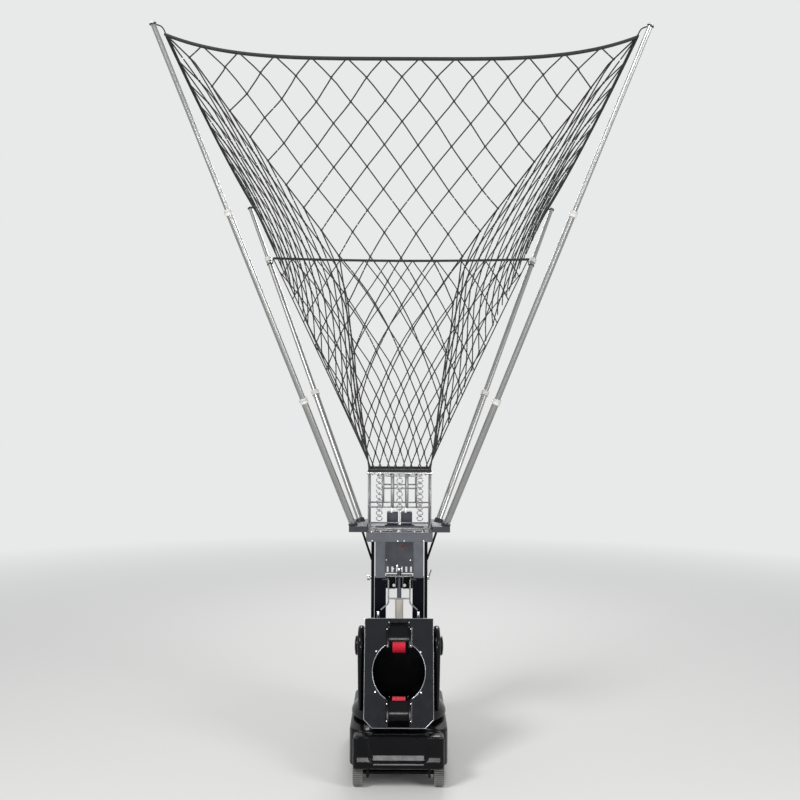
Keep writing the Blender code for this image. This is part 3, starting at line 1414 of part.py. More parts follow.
def make_cabinet():
    """The cabinet behind the tower, with its switch, button, dial, inlet and the push handle."""
    shape = rounded_box(
        (-CABINET_HALF_WIDTH, CABINET_FRONT_Y, DECK_Z + GAP),
        (CABINET_HALF_WIDTH, CABINET_REAR_Y, CABINET_TOP_Z),
        CABINET_CORNER, 1,
    )
    pocket = box(
        (
            SWITCH_X - SWITCH_WIDTH / 2 - SWITCH_CLEARANCE,
            CABINET_REAR_Y - SWITCH_POCKET,
            CONTROL_Z - SWITCH_HEIGHT / 2 - SWITCH_CLEARANCE,
        ),
        (
            SWITCH_X + SWITCH_WIDTH / 2 + SWITCH_CLEARANCE,
            CABINET_REAR_Y + 0.01,
            CONTROL_Z + SWITCH_HEIGHT / 2 + SWITCH_CLEARANCE,
        ),
    )
    button_hole = rod(
        (BUTTON_X, CABINET_REAR_Y - 0.020, CONTROL_Z),
        (BUTTON_X, CABINET_REAR_Y + 0.010, CONTROL_Z),
        BUTTON_STEM_RADIUS + BUTTON_CLEARANCE, 16,
    )
    hollow = box(
        (-CABINET_HALF_WIDTH + CABINET_WALL, CABINET_FRONT_Y + CABINET_WALL, DECK_Z - 0.01),
        (CABINET_HALF_WIDTH - CABINET_WALL, CABINET_REAR_Y - CABINET_REAR_WALL, CABINET_TOP_Z - CABINET_WALL),
    )
    piece("rear_cabinet", "powder_black", cut(shape, hollow, pocket, button_hole))
    make_controls()
    bottom = CABINET_TOP_Z + GAP
    grip_z = HANDLE_TOP_Z - HANDLE_RADIUS
    points = [(-HANDLE_X, bottom)]
    points += arc((-HANDLE_X + HANDLE_BEND, grip_z - HANDLE_BEND), HANDLE_BEND, 180, 90, 4)
    points += arc((HANDLE_X - HANDLE_BEND, grip_z - HANDLE_BEND), HANDLE_BEND, 90, 0, 4)
    points.append((HANDLE_X, bottom))
    curve = bpy.data.curves.new("push_handle", "CURVE")
    curve.dimensions = "3D"
    curve.bevel_depth = HANDLE_RADIUS
    curve.bevel_resolution = 2
    curve.use_fill_caps = True
    spline = curve.splines.new("POLY")
    spline.points.add(len(points) - 1)
    for target, (x, z) in zip(spline.points, points):
        target.co = (x, HANDLE_Y, z, 1)
    item = bpy.data.objects.new("push_handle", curve)
    bpy.context.scene.collection.objects.link(item)
    curve.materials.append(material("push_handle", "tube_dark"))


def make_controls():
    """The pieces on the cabinet's rear face."""
    switch_origin = (SWITCH_X, CABINET_REAR_Y - SWITCH_POCKET + GAP, CONTROL_Z)
    half_width, half_height = SWITCH_WIDTH / 2, SWITCH_HEIGHT / 2
    base_y = CABINET_REAR_Y - SWITCH_POCKET + GAP
    rocker = prism(
        [
            (base_y, CONTROL_Z),
            (base_y + 0.003, CONTROL_Z - half_height),
            (CABINET_REAR_Y + 0.004, CONTROL_Z - half_height),
            (CABINET_REAR_Y + 0.001, CONTROL_Z),
            (CABINET_REAR_Y + 0.004, CONTROL_Z + half_height),
            (base_y + 0.003, CONTROL_Z + half_height),
        ],
        "X", SWITCH_X - half_width, SWITCH_X + half_width,
    )
    piece("power_switch", "red_plastic", rocker, switch_origin)
    button = turned(
        [
            (0, -0.014),
            (BUTTON_STEM_RADIUS, -0.014),
            (BUTTON_STEM_RADIUS, BUTTON_STAND),
            (BUTTON_RADIUS, BUTTON_STAND),
            (BUTTON_RADIUS, BUTTON_STAND + BUTTON_CAP * 0.6),
            (BUTTON_RADIUS * 0.7, BUTTON_STAND + BUTTON_CAP),
            (0, BUTTON_STAND + BUTTON_CAP),
        ],
        16, (BUTTON_X, CABINET_REAR_Y, CONTROL_Z), (0, 1, 0),
    )
    piece("stop_button", "red_plastic", button, (BUTTON_X, CABINET_REAR_Y, CONTROL_Z), smooth=True)
    dial = turned(
        [
            (0, GAP),
            (DIAL_RADIUS, GAP),
            (DIAL_RADIUS * 0.86, DIAL_DEPTH - 0.001),
            (DIAL_RADIUS * 0.80, DIAL_DEPTH),
            (0, DIAL_DEPTH),
        ],
        20, (0, CABINET_REAR_Y, CONTROL_Z), (0, 1, 0),
    )
    pointer = box(
        (-0.0015, CABINET_REAR_Y + DIAL_DEPTH - 0.002, CONTROL_Z),
        (0.0015, CABINET_REAR_Y + DIAL_DEPTH + 0.002, CONTROL_Z + DIAL_RADIUS * 0.78),
    )
    piece("speed_dial", "black_plastic", fuse(dial, pointer), (0, CABINET_REAR_Y, CONTROL_Z))
    inlet = cut(
        box(
            (-INLET_WIDTH / 2, CABINET_REAR_Y + GAP, INLET_Z - INLET_HEIGHT / 2),
            (INLET_WIDTH / 2, CABINET_REAR_Y + INLET_DEPTH, INLET_Z + INLET_HEIGHT / 2),
        ),
        box(
            (-INLET_WIDTH / 2 + 0.010, CABINET_REAR_Y + 0.002, INLET_Z - INLET_HEIGHT / 2 + 0.006),
            (INLET_WIDTH / 2 - 0.010, CABINET_REAR_Y + 0.02, INLET_Z + INLET_HEIGHT / 2 - 0.006),
        ),
    )
    piece("mains_inlet", "black_plastic", inlet)


NET_COLUMNS = NET_COLUMNS_FRONT + 2 * NET_COLUMNS_SIDE + 2 * NET_COLUMNS_DROP + NET_COLUMNS_REAR
NET_CORNERS = (
    0,
    NET_COLUMNS_FRONT,
    NET_COLUMNS_FRONT + NET_COLUMNS_SIDE,
    NET_COLUMNS - NET_COLUMNS_SIDE,
    NET_COLUMNS,
)
NET_RIM = net_rim()
NET_FOOT = net_foot()


def main():
    """Clears the scene and makes the machine from the floor up."""
    for item in list(bpy.data.objects):
        bpy.data.objects.remove(item)
    make_chassis()
    make_base_shell()
    make_bumper()
    make_front_wheels()
    make_casters()
    make_yoke()
    make_face_plate()
    make_hood("wheel_hood_top", TOP_WHEEL_Z, 90, 196)
    make_hood("wheel_hood_bottom", BOTTOM_WHEEL_Z, 146, 270)
    make_launch_wheels()
    make_housing()
    make_tower()
    make_ball_rails()
    make_platform()
    make_locks()
    make_cage()
    make_chains()
    make_gate()
    for side in (-1, 1):
        make_pole(f"front_pole_{side_name(side)}", front_pole(side))
        make_pole(f"rear_pole_{side_name(side)}", rear_pole(side))
    make_net()
    make_cabinet()


main()
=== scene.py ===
"""Dresses the basketball shooting machine: its net, poles, cage, tower, launch head, base and cabinet.

Every surface is worked out with numpy in metres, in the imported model's own frame: +Z is up and the
front faces -Y. Each sub-assembly is a class that holds its sizes and builds its own pieces.
"""

import json
import logging
import math
from dataclasses import dataclass
from enum import Enum
from typing import Callable, Sequence

import bmesh
import bpy
import numpy as np
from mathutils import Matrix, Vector


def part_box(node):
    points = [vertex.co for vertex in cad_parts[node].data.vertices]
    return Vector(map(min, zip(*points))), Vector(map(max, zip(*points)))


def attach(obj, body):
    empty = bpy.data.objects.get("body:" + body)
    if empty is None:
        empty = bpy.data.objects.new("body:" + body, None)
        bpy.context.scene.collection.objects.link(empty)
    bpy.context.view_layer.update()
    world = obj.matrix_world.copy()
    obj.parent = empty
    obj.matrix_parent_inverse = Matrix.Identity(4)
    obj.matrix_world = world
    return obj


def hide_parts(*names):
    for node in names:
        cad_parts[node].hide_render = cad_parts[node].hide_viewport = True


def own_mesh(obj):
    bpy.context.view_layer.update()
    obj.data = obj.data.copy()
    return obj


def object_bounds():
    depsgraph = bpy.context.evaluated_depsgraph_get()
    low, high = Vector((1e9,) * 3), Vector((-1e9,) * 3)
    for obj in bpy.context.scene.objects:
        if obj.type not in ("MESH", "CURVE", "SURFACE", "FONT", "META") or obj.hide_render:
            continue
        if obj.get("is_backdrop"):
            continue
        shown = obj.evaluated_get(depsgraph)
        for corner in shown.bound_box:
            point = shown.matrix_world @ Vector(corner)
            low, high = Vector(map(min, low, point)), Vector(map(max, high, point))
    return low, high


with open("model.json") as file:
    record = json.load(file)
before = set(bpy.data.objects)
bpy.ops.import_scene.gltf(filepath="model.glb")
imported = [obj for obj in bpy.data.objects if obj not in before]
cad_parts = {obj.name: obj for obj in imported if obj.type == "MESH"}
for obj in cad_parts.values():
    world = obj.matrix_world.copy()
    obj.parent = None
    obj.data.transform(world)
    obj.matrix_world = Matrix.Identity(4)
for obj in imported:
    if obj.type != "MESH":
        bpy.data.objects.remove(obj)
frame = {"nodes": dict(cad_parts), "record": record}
CAD_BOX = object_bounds()

logging.basicConfig(level=logging.INFO, format="%(message)s")
log = logging.getLogger("machine")

Array = np.ndarray
Point = Sequence[float]

# Distances in metres below which points merge, in a new skin and in a copy of a CAD solid.
SEAM_MERGE = 0.000002
SOLID_MERGE = 0.00001
# Faces that meet at less than this are one, and edges sharper than this are rounded over.
FLAT_ANGLE = math.radians(0.5)
EASE_DEGREES = 32.0
# Directions, and the machine's two sides.
RIGHT, BACK, UP = (1, 0, 0), (0, 1, 0), (0, 0, 1)
FRONT = (0, -1, 0)
SIDES = ((-1, "left"), (1, "right"))


# Mesh tools


@dataclass
class Skin:
    """Points and faces of one or more closed surfaces.

    Each entry of faces is an array of shape (count, corners) that indexes the points.
    """

    points: Array
    faces: list[Array]

    def __add__(self, other: "Skin") -> "Skin":
        """Both surfaces in one skin."""
        shift = len(self.points)
        return Skin(np.vstack((self.points, other.points)), self.faces + [f + shift for f in other.faces])

    def moved(self, offset: Point) -> "Skin":
        """The skin carried by an offset."""
        return Skin(self.points + np.asarray(offset, float), self.faces)


def joined(skins: Sequence[Skin]) -> Skin:
    """All of the skins as one.

    Args:
        skins: Surfaces that may touch, but share no points.

    Returns:
        One skin that holds all of their points and faces.
    """
    shifts = np.cumsum([0] + [len(s.points) for s in skins[:-1]])
    faces = [f + shift for s, shift in zip(skins, shifts) for f in s.faces]
    return Skin(np.vstack([s.points for s in skins]), faces)


def unit(vector: Array) -> Array:
    """The vectors in the last axis, each divided by its length."""
    vector = np.asarray(vector, float)
    return vector / np.maximum(np.linalg.norm(vector, axis=-1, keepdims=True), 1e-12)


def points(*parts: float | Array) -> Array:
    """Points whose coordinates are the parts, each a number or an array, spread to one shape."""
    return np.stack(np.broadcast_arrays(*parts), axis=-1)


def smooth_step(share: Array) -> Array:
    """3 t^2 - 2 t^3 for the share t, held between 0 and 1."""
    held = np.clip(share, 0, 1)
    return held * held * (3 - 2 * held)


def loft(rings: Array, caps: bool = True, loop: bool = False) -> Skin:
    """A skin over rings of points: each ring is joined to the next by a belt of quads.

    Args:
        rings: Array of shape (rows, columns, 3). Each row closes on itself.
        caps: Whether the first and the last ring are closed by a flat face.
        loop: Whether the last ring joins the first again, as on a torus.

    Returns:
        The lofted skin.
    """
    rows, columns = rings.shape[:2]
    index = np.arange(rows * columns).reshape(rows, columns)
    low = index if loop else index[:-1]
    high = np.roll(index, -1, axis=0) if loop else index[1:]
    quads = np.stack((low, np.roll(low, -1, 1), np.roll(high, -1, 1), high), axis=-1).reshape(-1, 4)
    faces = [quads]
    if caps and not loop:
        faces += [index[0][::-1][None, :], index[-1][None, :]]
    return Skin(rings.reshape(-1, 3), faces)


def across(direction: Point) -> tuple[Array, Array, Array]:
    """Two unit vectors square to a direction, and the direction itself.

    The first is level where that is possible, so that round pieces on one line line up.

    Args:
        direction: Any vector but zero.

    Returns:
        Both unit vectors and the unit direction.
    """
    along = unit(np.asarray(direction, float))
    guide = np.array((0.0, 0.0, 1.0)) if abs(along[2]) < 0.9 else np.array((1.0, 0.0, 0.0))
    first = unit(np.cross(guide, along))
    return first, np.cross(along, first), along


def circle(sides: int, phase: float = 0.0) -> Array:
    """Angles of the corners of a regular polygon, from a phase on."""
    return phase + np.arange(sides) * 2 * math.pi / sides


def revolved(
    profile: Sequence[Point], start: Point, direction: Point, sides: int = 40, loop: bool = False
) -> Skin:
    """A profile turned about a line: point (r, t) sweeps a circle of radius r at the distance t.

    Args:
        profile: (radius, distance) pairs in order. Radius 0 closes the surface in a pole.
        start: A point on the line, at distance 0.
        direction: The way in which the distance grows.
        sides: How many points each circle gets.
        loop: Whether the profile's end joins its start, as on a ring.

    Returns:
        The turned skin.
    """
    first, second, along = across(direction)
    shape = np.asarray(profile, float)
    angle = circle(sides)
    spoke = np.cos(angle)[:, None] * first + np.sin(angle)[:, None] * second
    rings = shape[:, 0, None, None] * spoke[None] + shape[:, 1, None, None] * along
    caps = not loop and (shape[0, 0] > 1e-9 or shape[-1, 0] > 1e-9)
    return loft(np.asarray(start, float) + rings, caps=caps, loop=loop)


def tube(
    path: Array, radius: float | Array, sides: int = 8, guide: Point | None = None, loop: bool = False
) -> Skin:
    """A round cord along a path: at each point a circle stands square to the path's tangent.

    Args:
        path: Points of shape (n, 3).
        radius: One radius, or one for each point.
        sides: How many points each circle gets.
        guide: A direction that is never along the path. It keeps the circles from twisting.
        loop: Whether the path closes on itself.

    Returns:
        The swept skin.
    """
    path = np.asarray(path, float)
    if loop:
        run = unit(np.roll(path, -1, 0) - np.roll(path, 1, 0))
    else:
        run = unit(np.gradient(path, axis=0))
    if guide is None:
        guide = np.eye(3)[np.argmin(np.abs(run).max(axis=0))]
    first = unit(np.cross(run, np.asarray(guide, float)))
    second = np.cross(run, first)
    angle = circle(sides)
    spoke = np.cos(angle)[None, :, None] * first[:, None] + np.sin(angle)[None, :, None] * second[:, None]
    size = np.broadcast_to(np.asarray(radius, float), (len(path),))
    return loft(path[:, None] + size[:, None, None] * spoke, loop=loop)


def rounded_path(points: Sequence[Point], bend: float, steps: int = 5) -> Array:
    """A line of straight runs whose corners are replaced by quadratic curves.

    At each corner C the curve is (1-t)^2 A + 2t(1-t) C + t^2 B, where A and B lie a bend away from it.

    Args:
        points: The corners.
        bend: How far from a corner its curve starts.
        steps: How many points each curve gets.

    Returns:
        Points of shape (n, 3).
    """
    corners = np.asarray(points, float)
    share = np.linspace(0, 1, steps)[:, None]
    parts = [corners[:1]]
    for before, here, after in zip(corners, corners[1:], corners[2:]):
        a = here + unit(before - here) * min(bend, np.linalg.norm(before - here) * 0.49)
        b = here + unit(after - here) * min(bend, np.linalg.norm(after - here) * 0.49)
        parts.append((1 - share) ** 2 * a + 2 * share * (1 - share) * here + share**2 * b)
    parts.append(corners[-1:])
    return np.vstack(parts)


def soft_box(low: Point, high: Point, radius: float, steps: int = 3) -> Skin:
    """A box with round edges: a sphere whose eight octants are pulled out to the box's corners.

    Point = sign(n) * (half size - r) + r * n for a unit normal n that runs over the sphere.

    Args:
        low: Its lowest corner.
        high: Its highest corner.
        radius: The radius of its edges.
        steps: How many steps each quarter turn gets.

    Returns:
        A closed skin.
    """
    low, high = np.asarray(low, float), np.asarray(high, float)
    half, centre = (high - low) / 2, (high + low) / 2
    radius = min(radius, half.min() * 0.999)
    quarter = np.linspace(0, math.pi / 2, steps + 1)
    turn = np.concatenate([quarter + k * math.pi / 2 for k in range(4)])
    sx = np.repeat((1, -1, -1, 1), steps + 1)
    sy = np.repeat((1, 1, -1, -1), steps + 1)
    tilt = np.concatenate((quarter - math.pi / 2, quarter))
    sz = np.repeat((-1, 1), steps + 1)
    level = np.cos(tilt)[:, None]
    normal = points(level * np.cos(turn), level * np.sin(turn), np.sin(tilt)[:, None])
    sign = points(sx, sy, sz[:, None])
    return loft(centre + sign * (half - radius) + radius * normal)


def slab(outline: Array, start: Point, direction: Point, thick: float, edge: float = 0.0) -> Skin:
    """A flat outline given a thickness, with its rims drawn in by an edge.

    Ring k is the outline moved inwards by 0 or by the edge, at its height along the direction.

    Args:
        outline: (a, b) pairs in the plane's own axes, as across() gives them.
        start: The plane's origin.
        direction: The plane's normal.
        thick: The thickness along the normal.
        edge: The size of the rims' chamfer.

    Returns:
        A closed skin.
    """
    first, second, along = across(direction)
    shape = np.asarray(outline, float)
    middle = shape.mean(axis=0)
    reach = np.maximum(np.linalg.norm(shape - middle, axis=1, keepdims=True), 1e-9)
    drawn = middle + (shape - middle) * (1 - edge / reach)
    layers = [(drawn, 0.0), (shape, edge), (shape, thick - edge), (drawn, thick)]
    if edge <= 0:
        layers = [(shape, 0.0), (shape, thick)]
    rings = [s[:, :1] * first + s[:, 1:] * second + h * along for s, h in layers]
    return loft(np.asarray(start, float) + np.stack(rings))


def rounded_outline(width: float, height: float, radius: float, steps: int = 5) -> Array:
    """The outline of a rectangle round the origin whose corners are quarter circles.

    Args:
        width: The outline's width.
        height: Its height.
        radius: Its corners' radius.
        steps: Points in each corner, less one.

    Returns:
        The corners' points, in order.
    """
    quarter = np.linspace(0, math.pi / 2, steps + 1)
    turn = np.concatenate([quarter + k * math.pi / 2 for k in range(4)])
    sx = np.repeat((1, -1, -1, 1), steps + 1)
    sy = np.repeat((1, 1, -1, -1), steps + 1)
    xs = sx * (width / 2 - radius) + radius * np.cos(turn)
    ys = sy * (height / 2 - radius) + radius * np.sin(turn)
    return points(xs, ys)


def socket_screw(at: Point, out: Point, radius: float = 0.006, height: float = 0.005) -> Skin:
    """A button-head screw with a six-sided socket.

    The socket's ring has the radius s / cos(a), where a is the angle to the middle of a side.

    Args:
        at: The middle of the face that it sits on.
        out: The way that its head stands out.
        radius: The head's radius.
        height: The head's height.

    Returns:
        A closed skin.
    """
    first, second, along = across(out)
    angle = circle(24)
    hexagon = 1 / np.cos((angle + math.pi / 6) % (math.pi / 3) - math.pi / 6)
    rows = [
        (np.full(24, radius), -0.0005),
        (np.full(24, radius), height * 0.35),
        (np.full(24, radius * 0.86), height * 0.78),
        (np.full(24, radius * 0.60), height),
        (hexagon * radius * 0.42, height),
        (hexagon * radius * 0.40, height * 0.3),
    ]
    spoke = np.cos(angle)[:, None] * first + np.sin(angle)[:, None] * second
    rings = np.stack([size[:, None] * spoke + rise * along for size, rise in rows])
    return loft(np.asarray(at, float) + rings)


def put(
    name: str, skins: Skin | list[Skin], body: str, finish: "Finish", smooth: float = 40.0, node: str = "",
    slot: str = "",
) -> bpy.types.Object:
    """Makes a piece from its skins: merges their seams, turns its faces out, dresses it and lets it ride.

    Args:
        name: The piece's name.
        skins: Its surfaces.
        body: The body that carries it.
        finish: Its finish.
        smooth: The angle in degrees above which an edge stays sharp.
        node: The CAD node that it stands for, if any.
        slot: Its material slot in the record, if it has one; not used.

    Returns:
        The new object.
    """
    skin = joined(skins) if isinstance(skins, list) else skins
    mesh = bpy.data.meshes.new(name)
    mesh.from_pydata(skin.points.tolist(), [], [row for block in skin.faces for row in block.tolist()])
    work = bmesh.new()
    work.from_mesh(mesh)
    bmesh.ops.remove_doubles(work, verts=work.verts[:], dist=SEAM_MERGE)
    bmesh.ops.recalc_face_normals(work, faces=work.faces[:])
    work.to_mesh(mesh)
    work.free()
    item = settle(name, mesh, body, finish, smooth)
    if node:
        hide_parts(node)
    return item


def settle(name: str, mesh: bpy.types.Mesh, body: str, finish: "Finish", smooth: float) -> bpy.types.Object:
    """Puts a finished mesh into the scene as a piece that rides on a body.

    Args:
        name: The piece's name.
        mesh: Its mesh, in the machine's frame.
        body: The body that carries it.
        finish: Its finish.
        smooth: The angle in degrees above which an edge stays sharp.

    Returns:
        The new object.
    """
    item = bpy.data.objects.new(name, mesh)
    bpy.context.scene.collection.objects.link(item)
    mesh.materials.append(finish.material())
    mesh.shade_smooth()
    mesh.set_sharp_from_angle(angle=math.radians(smooth))
    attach(item, body)
    log.info("%s rides on %s, %d faces", name, body, len(mesh.polygons))
    return item


def body_of(node: str) -> str:
    """The body that carries a CAD node."""
    for body, nodes in frame["record"]["behaviour"]["bodies"].items():
        if node in nodes:
            return body
    raise ValueError(node)


def eased(node: str, finish: "Finish", width: float = 0.0012, segments: int = 2) -> None:
    """A copy of a CAD node whose sharp edges are rounded over, which stands for the node.

    Args:
        node: The CAD node.
        finish: Its finish.
        width: How wide its edges are rounded.
        segments: How many faces each rounding gets.
    """
    mesh = bpy.data.meshes.new(node + "_dressed")
    work = bmesh.new()
    work.from_mesh(frame["nodes"][node].data)
    bmesh.ops.remove_doubles(work, verts=work.verts[:], dist=SOLID_MERGE)
    bmesh.ops.dissolve_limit(work, angle_limit=FLAT_ANGLE, verts=work.verts[:], edges=work.edges[:])
    work.to_mesh(mesh)
    work.free()
    item = settle(node + "_dressed", mesh, body_of(node), finish, EASE_DEGREES)
    ease = item.modifiers.new("ease", "BEVEL")
    ease.width = width
    ease.segments = segments
    ease.limit_method = "ANGLE"
    ease.angle_limit = math.radians(EASE_DEGREES)
    ease.harden_normals = True
    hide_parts(node)
    log.info("%s stands for %s", item.name, node)


def dress(node: str, finish: "Finish") -> None:
    """Gives a CAD node that stays its finish.

    Args:
        node: The CAD node.
        finish: Its finish.
    """
    mesh = frame["nodes"][node].data
    mesh.materials.clear()
    mesh.materials.append(finish.material())
    log.info("%s keeps its solid", node)


# Finishes


class NodeGraph:
    """Small helper that adds and joins shader nodes in one tree."""

    def __init__(self, tree: bpy.types.NodeTree) -> None:
        """Keeps the tree."""
        self.tree = tree

    def add(self, kind: str, **settings: object) -> bpy.types.Node:
        """A new node with some of its properties set.

        Args:
            kind: Blender's name of the node's type.
            settings: Its properties.

        Returns:
            The new node.
        """
        node = self.tree.nodes.new(kind)
        for key, value in settings.items():
            setattr(node, key, value)
        return node

    def join(self, source: bpy.types.NodeSocket, target: bpy.types.NodeSocket) -> None:
        """Links two sockets."""
        self.tree.links.new(source, target)

    def math(
        self, operation: str, first: object, second: object = None, third: object = None
    ) -> bpy.types.NodeSocket:
        """A math node's result. Each operand is a socket or a number.

        Args:
            operation: Blender's name of the operation.
            first, second, third: Its operands.

        Returns:
            The result's socket.
        """
        node = self.add("ShaderNodeMath", operation=operation)
        for socket, value in zip(node.inputs, (first, second, third)):
            self.feed(socket, value)
        return node.outputs[0]

    def feed(self, socket: bpy.types.NodeSocket, value: object) -> None:
        """Gives a socket a link or a number."""
        if value is None:
            return
        if isinstance(value, bpy.types.NodeSocket):
            self.join(value, socket)
        else:
            socket.default_value = value

    def seen(self) -> bpy.types.NodeSocket:
        """1 for rays of the camera, of gloss and of glass, and 0 for the rest.

        Returns:
            The socket of that value.
        """
        path = self.add("ShaderNodeLightPath")
        seen = self.math("MAXIMUM", path.outputs["Is Camera Ray"], path.outputs["Is Glossy Ray"])
        return self.math("MAXIMUM", seen, path.outputs["Is Transmission Ray"])

    def noise(self, vector: object, scale: object, detail: float, rough: float = 0.5) -> bpy.types.NodeSocket:
        """A noise texture's value.

        Args:
            vector: The socket of the place.
            scale: The pattern's scale.
            detail: Its octaves.
            rough: How much each octave adds.

        Returns:
            The value's socket.
        """
        node = self.add("ShaderNodeTexNoise")
        self.join(vector, node.inputs["Vector"])
        self.feed(node.inputs["Scale"], scale)
        node.inputs["Detail"].default_value = detail
        node.inputs["Roughness"].default_value = rough
        return node.outputs["Fac"]

    def mix(self, share: object, first: object, second: object) -> bpy.types.NodeSocket:
        """A mix of two colours.

        Args:
            share: How much of the second colour.
            first, second: Each a socket or a colour.

        Returns:
            The mixed colour's socket.
        """
        node = self.add("ShaderNodeMix", data_type="RGBA")
        self.feed(node.inputs[0], share)
        self.feed(node.inputs[6], first)
        self.feed(node.inputs[7], second)
        return node.outputs[2]

    def spread(
        self, value: object, low: object, high: object, out_low: object, out_high: object
    ) -> bpy.types.NodeSocket:
        """A value mapped from one range to another, and clamped.

        Args:
            value: The value.
            low, high: Its range.
            out_low, out_high: The range that it is mapped to.

        Returns:
            The new value's socket.
        """
        node = self.add("ShaderNodeMapRange")
        for name, given in (
            ("Value", value), ("From Min", low), ("From Max", high), ("To Min", out_low), ("To Max", out_high)
        ):
            self.feed(node.inputs[name], given)
        return node.outputs[0]


def fill(node: bpy.types.Node, values: dict[str, object]) -> None:
    """Sets the node's own input values by their names."""
    for name, value in values.items():
        node.inputs[name].default_value = value


def new_group(name: str, inputs: Sequence[tuple], outputs: Sequence[tuple]) -> tuple:
    """An empty shader group with its sockets.

    Args:
        name: The group's name.
        inputs: (name, kind, default) of each input.
        outputs: (name, kind) of each output.

    Returns:
        The group's graph, its input node and its output node.
    """
    tree = bpy.data.node_groups.new(name, "ShaderNodeTree")
    for label, kind, default in inputs:
        socket = tree.interface.new_socket(label, in_out="INPUT", socket_type=kind)
        socket.default_value = default
    for label, kind in outputs:
        tree.interface.new_socket(label, in_out="OUTPUT", socket_type=kind)
    graph = NodeGraph(tree)
    return graph, graph.add("NodeGroupInput"), graph.add("NodeGroupOutput")


DUST_COLOUR = (0.30, 0.28, 0.25, 1.0)
GREY = (0.5, 0.5, 0.5, 1)
EFFECT_OUTPUTS = (
    ("Colour", "NodeSocketColor"), ("Roughness", "NodeSocketFloat"), ("Height", "NodeSocketFloat"),
)


def build_worn_group() -> bpy.types.NodeTree:
    """The shared effect of use: blotches of tint, a fine grain, uneven gloss and dust on top faces.

    Colour = base mixed to tint by slow noise, then to dust by upward slope times noise.
    Height = fine noise. Roughness runs between its two ends with a middle-sized noise.

    Returns:
        The group.
    """
    inputs = (
        ("Vector", "NodeSocketVector", (0, 0, 0)),
        ("Base", "NodeSocketColor", GREY),
        ("Tint", "NodeSocketColor", GREY),
        ("Blotch Scale", "NodeSocketFloat", 6.0),
        ("Blotch", "NodeSocketFloat", 0.5),
        ("Grain Scale", "NodeSocketFloat", 900.0),
        ("Rough Low", "NodeSocketFloat", 0.4),
        ("Rough High", "NodeSocketFloat", 0.6),
        ("Dust", "NodeSocketFloat", 0.1),
    )
    graph, given, result = new_group("worn_surface", inputs, EFFECT_OUTPUTS)
    place = given.outputs["Vector"]
    slow = graph.noise(place, given.outputs["Blotch Scale"], 4.0, 0.6)
    share = graph.math("MULTIPLY", graph.spread(slow, 0.35, 0.68, 0.0, 1.0), given.outputs["Blotch"])
    colour = graph.mix(share, given.outputs["Base"], given.outputs["Tint"])
    normal = graph.add("ShaderNodeNewGeometry")
    parts = graph.add("ShaderNodeSeparateXYZ")
    graph.join(normal.outputs["Normal"], parts.inputs[0])
    upward = graph.spread(parts.outputs[2], 0.55, 1.0, 0.0, 1.0)
    specks = graph.spread(graph.noise(place, 38.0, 6.0, 0.7), 0.42, 0.72, 0.15, 1.0)
    dusty = graph.math("MULTIPLY", graph.math("MULTIPLY", upward, specks), given.outputs["Dust"])
    colour = graph.mix(dusty, colour, DUST_COLOUR)
    patchy = graph.noise(place, 23.0, 5.0, 0.65)
    rough = graph.spread(patchy, 0.32, 0.70, given.outputs["Rough Low"], given.outputs["Rough High"])
    rough = graph.math("ADD", rough, graph.math("MULTIPLY", dusty, 0.5))
    grain = graph.noise(place, given.outputs["Grain Scale"], 2.0, 0.55)
    for name, value in zip(("Colour", "Roughness", "Height"), (colour, rough, grain)):
        graph.join(value, result.inputs[name])
    return graph.tree


def build_drawn_group() -> bpy.types.NodeTree:
    """The lines that drawing leaves along a metal tube: noise that is stretched along the tube's axis.

    Place = point - axis * (point . axis) * (1 - 1 / stretch).

    Returns:
        The group.
    """
    inputs = (
        ("Vector", "NodeSocketVector", (0, 0, 0)),
        ("Axis", "NodeSocketVector", (0, 0, 1)),
        ("Base", "NodeSocketColor", (0.7, 0.7, 0.7, 1)),
        ("Tint", "NodeSocketColor", (0.6, 0.6, 0.6, 1)),
        ("Line Scale", "NodeSocketFloat", 700.0),
        ("Rough Low", "NodeSocketFloat", 0.2),
        ("Rough High", "NodeSocketFloat", 0.4),
    )
    graph, given, result = new_group("drawn_metal", inputs, EFFECT_OUTPUTS)
    dot = graph.add("ShaderNodeVectorMath", operation="DOT_PRODUCT")
    graph.join(given.outputs["Vector"], dot.inputs[0])
    graph.join(given.outputs["Axis"], dot.inputs[1])
    along = graph.math("MULTIPLY", dot.outputs["Value"], 0.985)
    scaled = graph.add("ShaderNodeVectorMath", operation="SCALE")
    graph.join(given.outputs["Axis"], scaled.inputs[0])
    graph.join(along, scaled.inputs["Scale"])
    place = graph.add("ShaderNodeVectorMath", operation="SUBTRACT")
    graph.join(given.outputs["Vector"], place.inputs[0])
    graph.join(scaled.outputs[0], place.inputs[1])
    lines = graph.noise(place.outputs[0], given.outputs["Line Scale"], 3.0, 0.6)
    smudge = graph.noise(given.outputs["Vector"], 9.0, 4.0, 0.6)
    share = graph.math("MULTIPLY", graph.spread(lines, 0.3, 0.7, 0.0, 1.0), 0.55)
    share = graph.math("ADD", share, graph.spread(smudge, 0.45, 0.75, 0.0, 0.45))
    colour = graph.mix(share, given.outputs["Base"], given.outputs["Tint"])
    rough = graph.spread(smudge, 0.3, 0.7, given.outputs["Rough Low"], given.outputs["Rough High"])
    rough = graph.math("ADD", rough, graph.math("MULTIPLY", lines, 0.08))
    for name, value in zip(("Colour", "Roughness", "Height"), (colour, rough, lines)):
        graph.join(value, result.inputs[name])
    return graph.tree


COAT_ROUGHNESS = 0.08
GROUPS: dict[Callable, bpy.types.NodeTree] = {}
MADE: dict[str, bpy.types.Material] = {}


